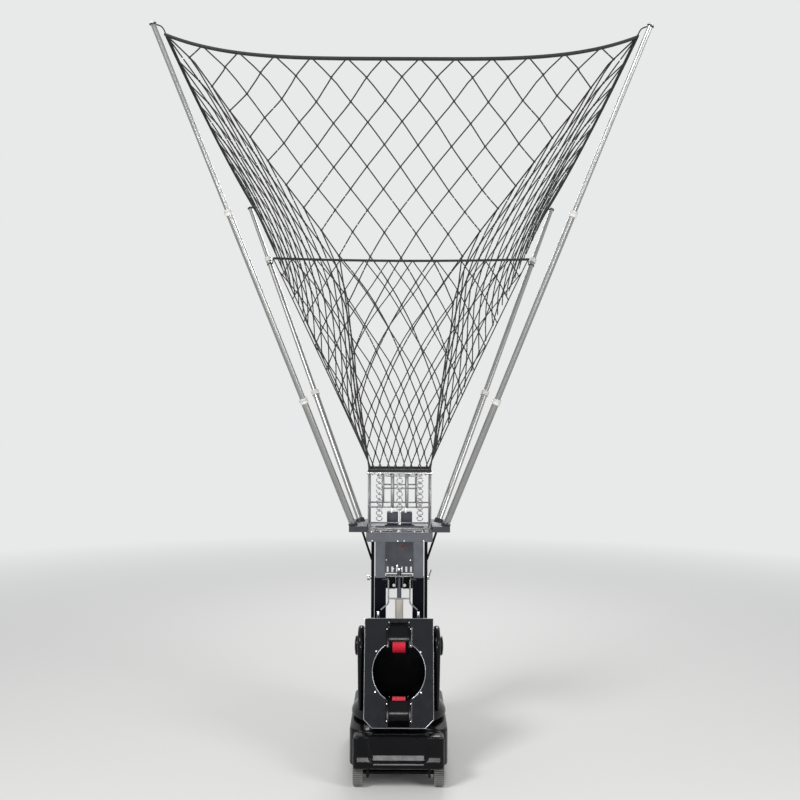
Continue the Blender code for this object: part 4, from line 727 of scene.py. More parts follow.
@dataclass(frozen=True)
class Finish:
    """A painted, moulded or rubber finish, with the shared wear in it.

    base and tint are linear colours; rough holds the two ends of its roughness.
    """

    name: str
    base: tuple[float, float, float]
    tint: tuple[float, float, float]
    rough: tuple[float, float] = (0.4, 0.6)
    metallic: float = 0.0
    blotch: float = 0.5
    blotch_scale: float = 6.0
    grain_scale: float = 900.0
    bump: float = 0.15
    bump_depth: float = 0.0004
    dust: float = 0.1
    coat: float = 0.0
    specular: float = 0.5

    def material(self) -> bpy.types.Material:
        """The finish as a material, made once.

        Returns:
            The material.
        """
        if self.name in MADE:
            return MADE[self.name]
        made = bpy.data.materials.new(self.name)
        made.use_nodes = True
        graph = NodeGraph(made.node_tree)
        shader = made.node_tree.nodes["Principled BSDF"]
        fill(shader, {
            "Metallic": self.metallic, "Coat Weight": self.coat, "Coat Roughness": COAT_ROUGHNESS,
            "Specular IOR Level": self.specular,
        })
        group = self.effect(graph)
        graph.join(group.outputs["Colour"], shader.inputs["Base Color"])
        graph.join(group.outputs["Roughness"], shader.inputs["Roughness"])
        bump = graph.add("ShaderNodeBump")
        fill(bump, {"Strength": self.bump, "Distance": self.bump_depth})
        graph.join(group.outputs["Height"], bump.inputs["Height"])
        graph.join(bump.outputs[0], shader.inputs["Normal"])
        MADE[self.name] = made
        return made

    def effect(self, graph: NodeGraph) -> bpy.types.Node:
        """The shared wear group, with this finish's own values."""
        return self.grouped(graph, build_worn_group, {
            "Blotch Scale": self.blotch_scale, "Blotch": self.blotch, "Grain Scale": self.grain_scale,
            "Dust": self.dust,
        })

    def grouped(
        self, graph: NodeGraph, build: Callable[[], bpy.types.NodeTree], values: dict[str, object]
    ) -> bpy.types.Node:
        """A shared group, built once, fed with Object coordinates, the finish's colours and its values.

        Args:
            graph: The material's graph.
            build: The function that makes the group.
            values: The group's inputs that this finish sets for itself.

        Returns:
            The group's node.
        """
        if build not in GROUPS:
            GROUPS[build] = build()
        group = graph.add("ShaderNodeGroup", node_tree=GROUPS[build])
        place = graph.add("ShaderNodeTexCoord")
        graph.join(place.outputs["Object"], group.inputs["Vector"])
        fill(group, {
            "Base": (*self.base, 1.0), "Tint": (*self.tint, 1.0), "Rough Low": self.rough[0],
            "Rough High": self.rough[1], **values,
        })
        return group


@dataclass(frozen=True)
class DrawnFinish(Finish):
    """Bare metal that was drawn or brushed along an axis."""

    axis: tuple[float, float, float] = (0.0, 0.0, 1.0)

    def effect(self, graph: NodeGraph) -> bpy.types.Node:
        """The drawn-metal group, with this finish's own values."""
        return self.grouped(graph, build_drawn_group, {"Axis": self.axis, "Line Scale": self.grain_scale})


POWDER_BLACK = Finish(
    "powder_black", (0.0076, 0.0085, 0.0118), (0.0130, 0.0143, 0.0188), (0.40, 0.56),
    grain_scale=1100.0, bump=0.35, bump_depth=0.0003, dust=0.03, specular=0.12,
)
POWDER_GREY = Finish(
    "powder_grey", (0.073, 0.078, 0.095), (0.097, 0.103, 0.123), (0.42, 0.58),
    grain_scale=1000.0, bump=0.35, bump_depth=0.0003, dust=0.12,
)
PANEL_GREY = Finish(
    "panel_grey", (0.038, 0.042, 0.057), (0.050, 0.055, 0.072), (0.42, 0.58),
    grain_scale=1000.0, bump=0.35, bump_depth=0.0003, dust=0.05,
)
POWDER_SLATE = Finish(
    "powder_slate", (0.024, 0.0262, 0.0335), (0.034, 0.037, 0.0455), (0.42, 0.58),
    grain_scale=1000.0, bump=0.35, bump_depth=0.0003, dust=0.05, specular=0.35,
)
GLOSS_BLACK = Finish(
    "gloss_black", (0.0020, 0.0021, 0.0029), (0.0040, 0.0042, 0.0056), (0.15, 0.23),
    grain_scale=160.0, bump=0.012, bump_depth=0.0004, dust=0.01, specular=0.16,
)
SATIN_BLACK = Finish(
    "satin_black", (0.0012, 0.0013, 0.0018), (0.0028, 0.0030, 0.0040), (0.30, 0.45),
    grain_scale=700.0, bump=0.12, dust=0.01, specular=0.05,
)
TUBE_GREY = Finish(
    "tube_grey", (0.084, 0.092, 0.110), (0.104, 0.113, 0.133), (0.30, 0.44),
    metallic=0.25, grain_scale=800.0, bump=0.10, dust=0.05,
)
TUBE_DARK = Finish(
    "tube_dark", (0.0026, 0.0029, 0.0064), (0.0050, 0.0055, 0.0104), (0.34, 0.50),
    grain_scale=900.0, bump=0.2, dust=0.01, specular=0.05,
)
SHELL_WHITE = Finish(
    "shell_white", (0.72, 0.71, 0.68), (0.62, 0.61, 0.57), (0.34, 0.48),
    grain_scale=600.0, bump=0.08, dust=0.05,
)
CREAM = Finish(
    "cream_enamel", (0.66, 0.63, 0.55), (0.55, 0.52, 0.44), (0.26, 0.40),
    grain_scale=260.0, bump=0.06, dust=0.05, coat=0.2,
)
ZINC = Finish(
    "zinc", (0.68, 0.68, 0.67), (0.52, 0.52, 0.52), (0.20, 0.38),
    metallic=1.0, blotch_scale=40.0, grain_scale=500.0, bump=0.08, dust=0.0,
)
RED_RUBBER = Finish(
    "red_rubber", (0.74, 0.014, 0.045), (0.60, 0.012, 0.038), (0.42, 0.60),
    blotch_scale=25.0, grain_scale=1500.0, bump=0.3, dust=0.02, coat=0.1,
)
GREY_RUBBER = Finish(
    "grey_rubber", (0.185, 0.185, 0.182), (0.235, 0.233, 0.227), (0.66, 0.85),
    blotch_scale=30.0, grain_scale=1300.0, bump=0.4, dust=0.10,
)
BLACK_RUBBER = Finish(
    "black_rubber", (0.022, 0.022, 0.023), (0.040, 0.039, 0.038), (0.60, 0.80),
    grain_scale=1300.0, bump=0.35, dust=0.08,
)
CAGE_STEEL = Finish(
    "cage_steel", (0.21, 0.21, 0.215), (0.13, 0.13, 0.135), (0.26, 0.42),
    metallic=0.85, blotch_scale=30.0, grain_scale=700.0, bump=0.08, dust=0.02,
)
CHAIN_STEEL = Finish(
    "chain_steel", (0.30, 0.30, 0.305), (0.17, 0.17, 0.175), (0.16, 0.30),
    metallic=1.0, blotch_scale=60.0, grain_scale=900.0, bump=0.05, dust=0.0,
)
# Light steel: the ball rails' own metal, also used on the bridge's light edges; on the face plate's edge
# beads and the right hood lip's lines it is a painted highlight.
STEEL_AND_EDGE_HIGHLIGHT = Finish(
    "steel_and_edge_highlight", (0.30, 0.31, 0.33), (0.16, 0.165, 0.175), (0.24, 0.40),
    metallic=0.6, blotch_scale=20.0, grain_scale=600.0, bump=0.06, dust=0.0,
)
NET_CORD = Finish(
    "net_cord", (0.036, 0.036, 0.038), (0.058, 0.058, 0.060), (0.74, 0.92),
    blotch_scale=60.0, grain_scale=1800.0, bump=0.7, bump_depth=0.0008, dust=0.0, specular=0.3,
)
RED_PLASTIC = Finish(
    "red_plastic", (0.56, 0.014, 0.014), (0.45, 0.012, 0.012), (0.24, 0.38),
    blotch_scale=30.0, grain_scale=500.0, bump=0.06, dust=0.02, coat=0.2,
)


# Photograph's view


@dataclass(frozen=True)
class Studio:
    """The camera at the photograph's place, the pale floor and the soft lamps.

    A lamp is its name, its place, the point it is aimed at, its width and height, and its power in watts.
    """

    distance: float = 5.0
    height: float = 1.867
    lens: float = 41.94
    sensor: float = 36.0
    shift: float = 0.014
    roll: float = math.radians(-0.25)
    view_end: float = 60.0
    pale: tuple[float, ...] = (0.90, 0.905, 0.91, 1.0)
    ground: tuple[float, ...] = (0.80, 0.80, 0.79, 1.0)
    black: tuple[float, ...] = (0.0, 0.0, 0.0, 1.0)
    floor_reach: float = 30.0
    floor_rough: float = 0.85
    fade: tuple[float, float] = (1.6, 9.0)
    ambient: float = 0.30
    shown: float = 0.90
    lamps: tuple[tuple, ...] = (
        ("key", (-3.2, -4.2, 5.2), (0.0, 0.0, 1.2), (1.6, 1.6), 225.0),
        ("fill", (4.0, -3.6, 3.0), (0.0, 0.0, 1.2), (1.8, 1.8), 105.0),
        ("low front", (0.0, -7.2, 1.30), (0.0, 0.0, 0.6), (1.2, 0.9), 95.0),
        ("rim", (0.5, 4.6, 4.6), (0.0, 0.0, 1.4), (2.0, 2.0), 150.0),
    )

    def build(self) -> None:
        """Adds the camera, the lamps and the stage."""
        scene = bpy.context.scene
        scene.view_settings.view_transform = "Standard"
        data = bpy.data.cameras.new("camera")
        data.lens, data.sensor_width = self.lens, self.sensor
        data.shift_y, data.clip_end = self.shift, self.view_end
        camera = bpy.data.objects.new("camera", data)
        camera.location = (0.0, -self.distance, self.height)
        camera.rotation_euler = (math.pi / 2, self.roll, 0.0)
        scene.collection.objects.link(camera)
        scene.camera = camera
        for lamp in self.lamps:
            self.lamp(*lamp)
        self.world()
        self.floor()

    def lamp(self, name: str, at: Point, to: Point, size: tuple[float, float], power: float) -> None:
        """A soft lamp of a width and a height at a point, aimed at another.

        Args:
            name: Its name.
            at: Its place.
            to: The point it is aimed at.
            size: Its width and height.
            power: Its power in watts.
        """
        data = bpy.data.lights.new(name, "AREA")
        data.shape = "RECTANGLE"
        data.size, data.size_y = size
        data.energy = power
        item = bpy.data.objects.new(name, data)
        item.location = at
        item.rotation_euler = (Vector(to) - Vector(at)).to_track_quat("-Z", "Y").to_euler()
        bpy.context.scene.collection.objects.link(item)

    def world(self) -> None:
        """The world: the camera, metal and glass see it near white, and it lights the rest softly."""
        world = bpy.data.worlds.new("studio")
        bpy.context.scene.world = world
        world.use_nodes = True
        graph = NodeGraph(world.node_tree)
        background = world.node_tree.nodes["Background"]
        extra = graph.math("MULTIPLY", graph.seen(), self.shown - self.ambient)
        strength = graph.math("ADD", extra, self.ambient)
        fill(background, {"Color": self.pale})
        graph.join(strength, background.inputs["Strength"])

    def floor(self) -> None:
        """A floor that fades into the world with its distance from the origin.

        Its glow grows from 0 to the world's strength over the fade, while its colour goes to black.
        """
        mesh = bpy.data.meshes.new("floor")
        edge = self.floor_reach
        square = [(-edge, -edge, 0), (edge, -edge, 0), (edge, edge, 0), (-edge, edge, 0)]
        mesh.from_pydata(square, [], [(0, 1, 2, 3)])
        floor = bpy.data.objects.new("floor", mesh)
        bpy.context.scene.collection.objects.link(floor)
        made = bpy.data.materials.new("floor")
        made.use_nodes = True
        shader = made.node_tree.nodes["Principled BSDF"]
        fill(shader, {"Roughness": self.floor_rough, "Specular IOR Level": 0.0, "Emission Color": self.pale})
        graph = NodeGraph(made.node_tree)
        place = graph.add("ShaderNodeTexCoord")
        reach = graph.add("ShaderNodeVectorMath", operation="LENGTH")
        graph.join(place.outputs["Object"], reach.inputs[0])
        far = graph.spread(reach.outputs["Value"], *self.fade, 0.0, 1.0)
        graph.join(graph.mix(far, self.ground, self.black), shader.inputs["Base Color"])
        glow = graph.math("MULTIPLY", graph.math("MULTIPLY", far, graph.seen()), self.shown)
        graph.join(glow, shader.inputs["Emission Strength"])
        mesh.materials.append(made)
        floor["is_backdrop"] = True


# Sub-assemblies


@dataclass(frozen=True)
class PoleLine:
    """One pole: where it leaves the side plate, its lean for a metre of height, and its joints."""

    name: str
    start: tuple[float, float, float]
    lean: tuple[float, float, float]
    joints: tuple[float, float]
    height: float
    travel: tuple[float, float]

    @property
    def stretch(self) -> float:
        """The pole's length for a metre of height."""
        return float(np.linalg.norm(self.lean))

    @property
    def direction(self) -> Array:
        """The pole's unit direction."""
        return unit(np.asarray(self.lean))

    @property
    def length(self) -> float:
        """The raised pole's length."""
        return self.height * self.stretch

    def at(self, distance: float) -> Array:
        """The point at a distance along the pole."""
        return np.asarray(self.start) + self.direction * distance


def pole_line(front: bool, side: int) -> PoleLine:
    """The line of one of the four poles. Side is -1 for the left and 1 for the right.

    Args:
        front: Whether it is a front pole.
        side: Its side.

    Returns:
        Its line.
    """
    word = "left" if side < 0 else "right"
    if front:
        return PoleLine(
            f"front_pole_{word}", (side * 0.243, -0.094, 1.2653), (side * 0.375, -0.300, 1.0),
            (0.665, 1.558), 2.355, (0.58, 0.8584),
        )
    return PoleLine(
        f"rear_pole_{word}", (side * 0.212, 0.094, 1.2653), (side * 0.390, 0.3783, 1.0),
        (0.718, 1.532), 1.869, (0.58, 0.3596),
    )


def pole_lines() -> list[PoleLine]:
    """The front left, front right, rear left and rear right pole."""
    return [pole_line(front, side) for front in (True, False) for side in (-1, 1)]


@dataclass
class Poles:
    """The four telescoping poles: drawn aluminium tubes with white clamp collars."""

    radii: tuple[float, float, float] = (0.0175, 0.0145, 0.0115)
    wall: float = 0.002
    edge: float = 0.0006
    foot: float = -0.0135
    joint_gap: float = 0.001
    tip_gap: float = 0.004
    skin_gap: float = 0.0001
    overlap: float = 0.120
    collar_length: float = 0.028
    collar_radius: tuple[float, float] = (0.0222, 0.0192)
    screw: tuple[float, float] = (0.0042, 0.0032)
    rivet: tuple[float, float] = (0.0036, 0.0018)
    rivet_places: tuple[float, ...] = (0.060, 0.110, 0.160, 0.210)
    sides: int = 36

    def metal(self, line: PoleLine) -> Finish:
        """Aluminium whose drawing lines run along this pole."""
        return DrawnFinish(
            f"aluminium_{line.name}", (0.36, 0.36, 0.355), (0.27, 0.27, 0.265), (0.20, 0.36),
            metallic=1.0, grain_scale=900.0, bump=0.10, bump_depth=0.0003,
            axis=tuple(float(v) for v in line.direction),
        )

    def build(self) -> None:
        """Makes each pole's three tubes, its collars, cap and fixings."""
        for line in pole_lines():
            self.tubes(line)
            self.collars(line)
            self.fixings(line)

    def tubes(self, line: PoleLine) -> None:
        """Replaces the three solids with round tubes: ring profiles turned about the pole's line.

        Args:
            line: The pole.
        """
        first, second = (joint * line.stretch for joint in line.joints)
        spans = (
            ("lower", self.foot, first - self.joint_gap, self.radii[0]),
            ("middle", first - self.overlap, second - self.joint_gap, self.radii[1]),
            ("tip", second - self.overlap, line.length - self.tip_gap, self.radii[2]),
        )
        for part, low, high, radius in spans:
            inner, edge = radius - self.wall, self.edge
            profile = [
                (inner, low), (radius - edge, low), (radius, low + edge),
                (radius, high - edge), (radius - edge, high), (inner, high),
            ]
            skin = revolved(profile, line.start, line.direction, self.sides, loop=True)
            node = f"{line.name}_{part}"
            body = "carriage" if part == "lower" else node
            put(f"{node}_tube", skin, body, self.metal(line), node=node, slot="silver")

    def collars(self, line: PoleLine) -> None:
        """White clamp collars over the joints: a waisted sleeve and its screw.

        Args:
            line: The pole.
        """
        lift = across(line.direction)[1]
        bodies = ("carriage", f"{line.name}_middle")
        for joint, body, word, tube_radius, radius in zip(
            line.joints, bodies, ("low", "high"), self.radii, self.collar_radius
        ):
            top = joint * line.stretch
            low = top - self.collar_length
            bore, waist = tube_radius + self.skin_gap, radius - 0.0010
            profile = [
                (bore, low), (radius - 0.0012, low), (radius, low + 0.0012), (radius, low + 0.0090),
                (waist, low + 0.0105), (waist, top - 0.0115), (radius, top - 0.0100), (radius, top - 0.0015),
                (radius - 0.0015, top), (tube_radius - 0.0027, top), (tube_radius - 0.0027, top - 0.004),
                (bore, top - 0.005),
            ]
            name = f"{line.name}_collar_{word}"
            skin = revolved(profile, line.start, line.direction, self.sides, loop=True)
            put(name, skin, body, SHELL_WHITE, slot="silver")
            face = line.at(top - self.collar_length / 2) - lift * (radius - 0.0014)
            put(f"{name}_screw", socket_screw(face, -lift, *self.screw), body, ZINC)

    def fixings(self, line: PoleLine) -> None:
        """The rivets near a pole's foot and the rounded cap on its tip.

        Args:
            line: The pole.
        """
        lift = across(line.direction)[1]
        rivets = [
            socket_screw(line.at(t) - lift * (self.radii[0] - 0.0002), -lift, *self.rivet)
            for t in self.rivet_places
        ]
        put(f"{line.name}_rivets", joined(rivets), "carriage", ZINC)
        end = line.length
        profile = [
            (self.radii[2] + self.skin_gap, end - 0.014), (0.0128, end - 0.014), (0.0135, end - 0.0132),
            (0.0135, end - 0.006), (0.0125, end - 0.0025), (0.0095, end - 0.0006), (0, end),
        ]
        skin = revolved(profile, line.start, line.direction, self.sides)
        put(f"{line.name}_cap", skin, f"{line.name}_tip", SHELL_WHITE, slot="silver")


class Side(Enum):
    """The net's four panels."""

    FRONT = "front"
    RIGHT = "right"
    REAR = "rear"
    LEFT = "left"


@dataclass(frozen=True)
class Panel:
    """One panel of the net, sampled from the cage up to its rim, between two seams.

    A cell number is given to each seam at each height, and rows counts the cells down from the rim.
    """

    side: Side
    seams: tuple[Array, Array]
    columns: tuple[Array, Array]
    rows: Array
    sag: float
    sag_power: float
    bow: float
    poles: tuple[PoleLine, PoleLine]
    strips: int
    sway: float = 0.006
    cord_reach: float = 0.9985
    knot_reach: float = 1.004

    @property
    def levels(self) -> Array:
        """The sampled heights, from 0 at the cage to 1 at the rim."""
        return np.linspace(0, 1, len(self.rows))

    @property
    def outward(self) -> Array:
        """The level way out of the net, through the panel's middle."""
        return unit((self.seams[0][-1] + self.seams[1][-1]) * (1, 1, 0))

    def seam(self, number: int, v: Array) -> Array:
        """The points of the first or second seam at heights v."""
        return points(*(np.interp(v, self.levels, self.seams[number][:, k]) for k in range(3)))

    def point(self, u: Array, v: Array) -> Array:
        """The surface's points: u runs from -1 at the first seam to 1 at the second one.

        Height falls by sag * (1 - |u|^power) * v^4, and the middle moves inwards by
        bow * (1 - u^2) * sin(pi v). A small sway keeps each cord from being quite straight.

        Args:
            u: Shares across the panel.
            v: Shares of its height.

        Returns:
            The points, one for each pair.
        """
        u, v = np.asarray(u, float), np.asarray(v, float)
        u, v = np.broadcast_arrays(u, v)
        share = ((u + 1) / 2)[..., None]
        place = self.seam(0, v) * (1 - share) + self.seam(1, v) * share
        place = place - self.outward * (self.bow * (1 - u**2) * np.sin(math.pi * v))[..., None]
        place[..., 2] -= self.sag * (1 - np.abs(u) ** self.sag_power) * v**4
        x, y, z = place[..., 0], place[..., 1], place[..., 2]
        sway = points(np.sin(9.1 * z + 5.3 * y), np.sin(8.3 * x - 6.1 * z), np.sin(7.7 * y + 6.9 * x))
        calm = np.clip(v * 6, 0, 1) * np.clip((1 - v) * 8, 0, 1) * (1 - u**4)
        return place + self.sway * sway * calm[..., None]

    def cords(self) -> list[tuple[Array, Array]]:
        """Every cord as (u, v) arrays.

        In cells a cord keeps column - row = k + 1/2 or column + row = k + 1/2, and it ends at a seam.

        Returns:
            The arrays of each cord, from the cage upwards.
        """
        first, second = self.columns
        reach = int(np.ceil(np.abs(np.stack(self.columns)).max() + self.rows.max())) + 1
        found = []
        for sign in (-1, 1):
            for k in range(-reach, reach + 1):
                u = 2 * (k + 0.5 + sign * self.rows - first) / (second - first) - 1
                for low, high in runs(np.abs(u) < self.cord_reach):
                    if high - low > 6:
                        found.append((u[low:high], self.levels[low:high]))
        return found

    def knots(self) -> tuple[Array, Array]:
        """The (u, v) of each crossing: whole columns on odd half rows, half columns on whole rows.

        Returns:
            The u values and the v values.
        """
        first, second = self.columns
        number = np.arange(1, int(self.rows.max() * 2) + 1)
        v = np.interp(number / 2, self.rows[::-1], self.levels[::-1])
        low, high = np.interp(v, self.levels, first), np.interp(v, self.levels, second)
        column = np.arange(-24, 25)[None] + np.where(number % 2 == 0, 0.5, 0.0)[:, None]
        u = 2 * (column - low[:, None]) / (high - low)[:, None] - 1
        keep = np.abs(u) < self.knot_reach
        return u[keep], np.broadcast_to(v[:, None], u.shape)[keep]


def runs(inside: Array) -> Array:
    """The (first, end) pairs of the runs of true values."""
    edges = np.flatnonzero(np.diff(np.concatenate(([0], inside.astype(int), [0]))))
    return edges.reshape(-1, 2)


@dataclass
class Net:
    """The catch net: one diamond mesh that is folded round four panels and tied to the poles.

    The front panel's cloth narrows by one column for each row, down to a width of four columns,
    and the side panels run from its folds back to the rear poles. The front, right, rear and left
    panel each have a shape (sag, its power, bow) and a number of strips.
    """

    cord: float = 0.0034
    rope: float = 0.0044
    samples: int = 700
    whip: tuple[float, float, float] = (0.0062, 0.0068, 0.007)
    knot: tuple[float, float] = (0.0068, 0.0058)
    lap: float = 0.002
    rim_line: float = 0.9955
    fold_start: float = 0.529
    fold_levels: tuple[float, ...] = (
        0.0, 0.12, 0.25, 0.35, 0.45, 0.529, 0.589, 0.639, 0.691, 0.743, 0.793, 0.846, 0.891, 0.945, 1.0
    )
    fold_widths: tuple[float, ...] = (
        0.162, 0.190, 0.222, 0.246, 0.271, 0.301, 0.387, 0.468, 0.552, 0.635, 0.712, 0.800, 0.868, 0.950,
        1.0725,
    )
    row_levels: tuple[float, ...] = (
        0.0, 0.13, 0.26, 0.375, 0.48, 0.531, 0.589, 0.640, 0.690, 0.742, 0.793, 0.847, 0.897, 0.955, 1.0
    )
    row_counts: tuple[float, ...] = (
        8.9, 7.9, 6.85, 5.9, 4.95, 4.5, 4.0, 3.5, 3.0, 2.5, 2.0, 1.5, 1.0, 0.5, 0.0
    )
    rear_width_levels: tuple[float, ...] = (0, 0.3, 0.7, 1)
    rear_cell_widths: tuple[float, ...] = (0.085, 0.108, 0.132, 0.146)
    rear_row_levels: tuple[float, ...] = (0, 0.22, 0.45, 0.7, 1)
    rear_row_counts: tuple[float, ...] = (5.3, 4.25, 3.1, 1.7, 0.0)
    columns_front: float = 6.5
    columns_low: float = 2.0
    columns_side: tuple[float, ...] = (3.1, 4.8, 6.8, 8.6, 10.0)
    shapes: tuple[tuple[float, float, float], ...] = (
        (0.103, 4.0, 0.0), (0.030, 2.0, 0.03), (0.012, 2.0, 0.02), (0.030, 2.0, 0.03),
    )
    strip_counts: tuple[int, ...] = (28, 20, 24, 20)
    cage_x: float = 0.162
    cage_y: float = 0.129
    cage_top: float = 1.5600
    corner_drop: float = 0.050
    tie_drop: float = 0.008
    tie_low: float = 0.040
    tie_end: float = 0.012
    tie_radii: tuple[float, float] = (0.0135, 0.0148)
    tie_cord: float = 0.0015
    tie_pitch: float = 0.0030
    hem_rope: tuple[float, float, float] = (0.163, 0.130, 1.5525)
    hem_loops: tuple[float, float, float] = (0.162, 0.129, 1.5455)
    hem_loop: tuple[float, float, float, float] = (0.0075, 0.0105, 0.0030, 0.003)
    inset: float = 0.045
    pull: float = 0.060
    rear_pull: float = 0.008

    def panels(self) -> list[Panel]:
        """The four panels, from the cage's top ring to the poles.

        Returns:
            The front, right, rear and left panel.
        """
        v = np.linspace(0, 1, self.samples)
        fl, fr, rl, rr = pole_lines()
        fold, back, tied = {}, {}, {}
        for side, tall, low in ((-1, fl, rl), (1, fr, rr)):
            front = np.array((side * self.cage_x, -self.cage_y, self.cage_top))
            rear = np.array((side * self.cage_x, self.cage_y, self.cage_top))
            curve = front + (self.corner(tall) - front) * v[:, None]
            curve[:, 0] = side * np.interp(v, self.fold_levels, self.fold_widths)
            curve[:, 1] += self.pull * np.sin(math.pi * v**0.6)
            fold[side] = curve
            back[side] = self.drawn(rear + (self.corner(low) - rear) * v[:, None], v)
            knot = self.inwards(low.at(low.joints[1] * low.stretch - self.tie_drop), self.inset)
            tied[side] = self.drawn(rear + (knot - rear) * v[:, None], v)
        rows = np.interp(v, self.row_levels, self.row_counts)
        edge = np.maximum(self.columns_front - rows, self.columns_low)
        outer = edge + np.interp(v, np.linspace(0, 1, 5), self.columns_side)
        width = np.linalg.norm(tied[1] - tied[-1], axis=1) / 2
        across_rear = width / np.interp(v, self.rear_width_levels, self.rear_cell_widths)
        rear_rows = np.interp(v, self.rear_row_levels, self.rear_row_counts)
        parts = (
            (Side.FRONT, (fold[-1], fold[1]), (-edge, edge), rows, (fl, fr)),
            (Side.RIGHT, (fold[1], back[1]), (edge, outer), rows, (fr, rr)),
            (Side.REAR, (tied[1], tied[-1]), (-across_rear, across_rear), rear_rows, (rr, rl)),
            (Side.LEFT, (back[-1], fold[-1]), (-outer, -edge), rows, (rl, fl)),
        )
        return [
            Panel(*start, *shape, poles, strips)
            for (*start, poles), shape, strips in zip(parts, self.shapes, self.strip_counts)
        ]

    def corner(self, line: PoleLine) -> Array:
        """Where the net's corner hangs from a pole's tip."""
        return self.inwards(line.at(line.length - self.corner_drop), self.inset)

    def drawn(self, line: Array, v: Array) -> Array:
        """A seam drawn inwards by rear_pull * sin(pi * v^0.6)."""
        return line - unit(line * (1, 1, 0)) * (self.rear_pull * np.sin(math.pi * v**0.6))[:, None]

    @staticmethod
    def inwards(point: Array, amount: float) -> Array:
        """A point moved level towards the machine's middle line."""
        centre = np.array((0.0, 0.0, point[2]))
        return point + unit(centre - point) * amount

    def knot_skins(self, places: Array, outward: Array) -> list[Skin]:
        """Small flattened balls at the knots: rings of six points at three heights, closed by poles.

        Args:
            places: The knots' points.
            outward: The net's way out there.

        Returns:
            A skin for each knot.
        """
        ball = np.array(((0, -1), (0.72, -0.6), (1, 0), (0.72, 0.6), (0, 1)))
        base = revolved(ball * self.knot, (0, 0, 0), outward, 6)
        return [base.moved(place) for place in places]

    def build(self) -> None:
        """Makes each panel in strips, one piece for each strip, hides the net's solid and adds the ties and
        the hem.
        """
        pieces = [piece for panel in self.panels() for piece in self.strips(panel)]
        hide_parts("catch_net")
        self.ties()
        self.hem()

    def strips(self, panel: Panel) -> list[bpy.types.Object]:
        """One piece for each strip of the panel, with its cords, knots, rope and seam.

        Args:
            panel: The panel.

        Returns:
            Its pieces.
        """
        bounds = np.linspace(-1, 1, panel.strips + 1)
        cords, (knot_u, knot_v) = panel.cords(), panel.knots()
        outward = panel.outward
        made = []
        for number, (low, high) in enumerate(zip(bounds, bounds[1:]), 1):
            skins = []
            for u, v in cords:
                for a, b in runs((u >= low - self.lap) & (u <= high + self.lap)):
                    if b - a > 2:
                        pick = np.unique(np.linspace(a, b - 1, max(3, (b - a) // 14)).astype(int))
                        skins.append(tube(panel.point(u[pick], v[pick]), self.cord, 5, guide=outward))
            keep = (knot_u >= low) & (knot_u < high) | (knot_u >= 1) & (high > 0.999)
            skins += self.knot_skins(panel.point(knot_u[keep], knot_v[keep]), outward)
            skins += self.edges(panel, low, high)
            item = put(f"net_{panel.side.value}_{number}", skins, "carriage", NET_CORD, 75)
            self.gather(item, panel, (low + high) / 2)
            made.append(item)
        return made

    def edges(self, panel: Panel, low: float, high: float) -> list[Skin]:
        """The rim's two ropes over a strip, and the seam's cord where the strip ends a panel.

        Args:
            panel: The panel.
            low, high: The strip's ends in u.

        Returns:
            The ropes', whippings' and seams' skins.
        """
        u = np.linspace(low, high, 13)
        rope, line = panel.point(u, 1.0), panel.point(u, self.rim_line)
        skins = [tube(rope, self.rope, 8, guide=UP), tube(line, self.cord, 5, guide=UP)]
        thin, thick, half = self.whip
        whip = revolved([(thin, -half), (thick, 0), (thin, half)], (0, 0, 0), rope[-1] - rope[0], 8)
        skins += [whip.moved(place) for place in panel.point(np.linspace(low, high, 9)[:-1], 1.0)]
        if low <= -1 + 1e-9:
            skins.append(self.seam_cord(panel, -1.0))
        if high >= 1 - 1e-9 and panel.side in (Side.FRONT, Side.REAR):
            skins.append(self.seam_cord(panel, 1.0))
        return skins

    def seam_cord(self, panel: Panel, u: float) -> Skin:
        """The cord along a panel's first or second edge. A fold has it only where the cloth narrows.

        Args:
            panel: The panel.
            u: -1 or 1.

        Returns:
            The cord's skin.
        """
        folded = panel.side is Side.FRONT or (panel.side is Side.RIGHT and u < 0)
        v = np.linspace(self.fold_start if folded else 0.0, 1, 60)
        return tube(panel.point(u, v), self.cord, 6, guide=BACK)

    def gather(self, item: bpy.types.Object, panel: Panel, u: float) -> None:
        """Works out a strip's lean, foot, travel and reach but does not use them; the strip only gets its own
        copy of its mesh.

        The lean, the foot and the travel are those of the panel's two poles, mixed by u.

        Args:
            item: The strip's piece.
            panel: Its panel.
            u: The strip's middle.
        """
        share = (u + 1) / 2
        first, second = panel.poles
        lean = np.asarray(first.lean) * (1 - share) + np.asarray(second.lean) * share
        foot = panel.seams[0][0] * (1 - share) + panel.seams[1][0] * share
        head = panel.point(np.array(u), np.array(1.0))
        slides = 1 if panel.side is Side.REAR else 2
        travel = sum(first.travel[:slides]) * (1 - share) + sum(second.travel[:slides]) * share
        reach = float((head - foot) @ unit(lean))
        tuple(unit(lean))
        max(0.05, 1 - travel / reach)
        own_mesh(item)

    def ties(self) -> None:
        """Loops of cord round the poles' tips, and round the rear poles' middle tubes, that hold the net."""
        for line in pole_lines():
            self.tie(line, line.length - self.tie_end, self.tie_radii[0], "tip", "tip", self.corner(line))
            if line.name.startswith("rear"):
                low = line.joints[1] * line.stretch - self.tie_drop
                knot = self.inwards(line.at(low), self.inset)
                self.tie(line, low - self.tie_low, self.tie_radii[1], "middle", "mid", knot)

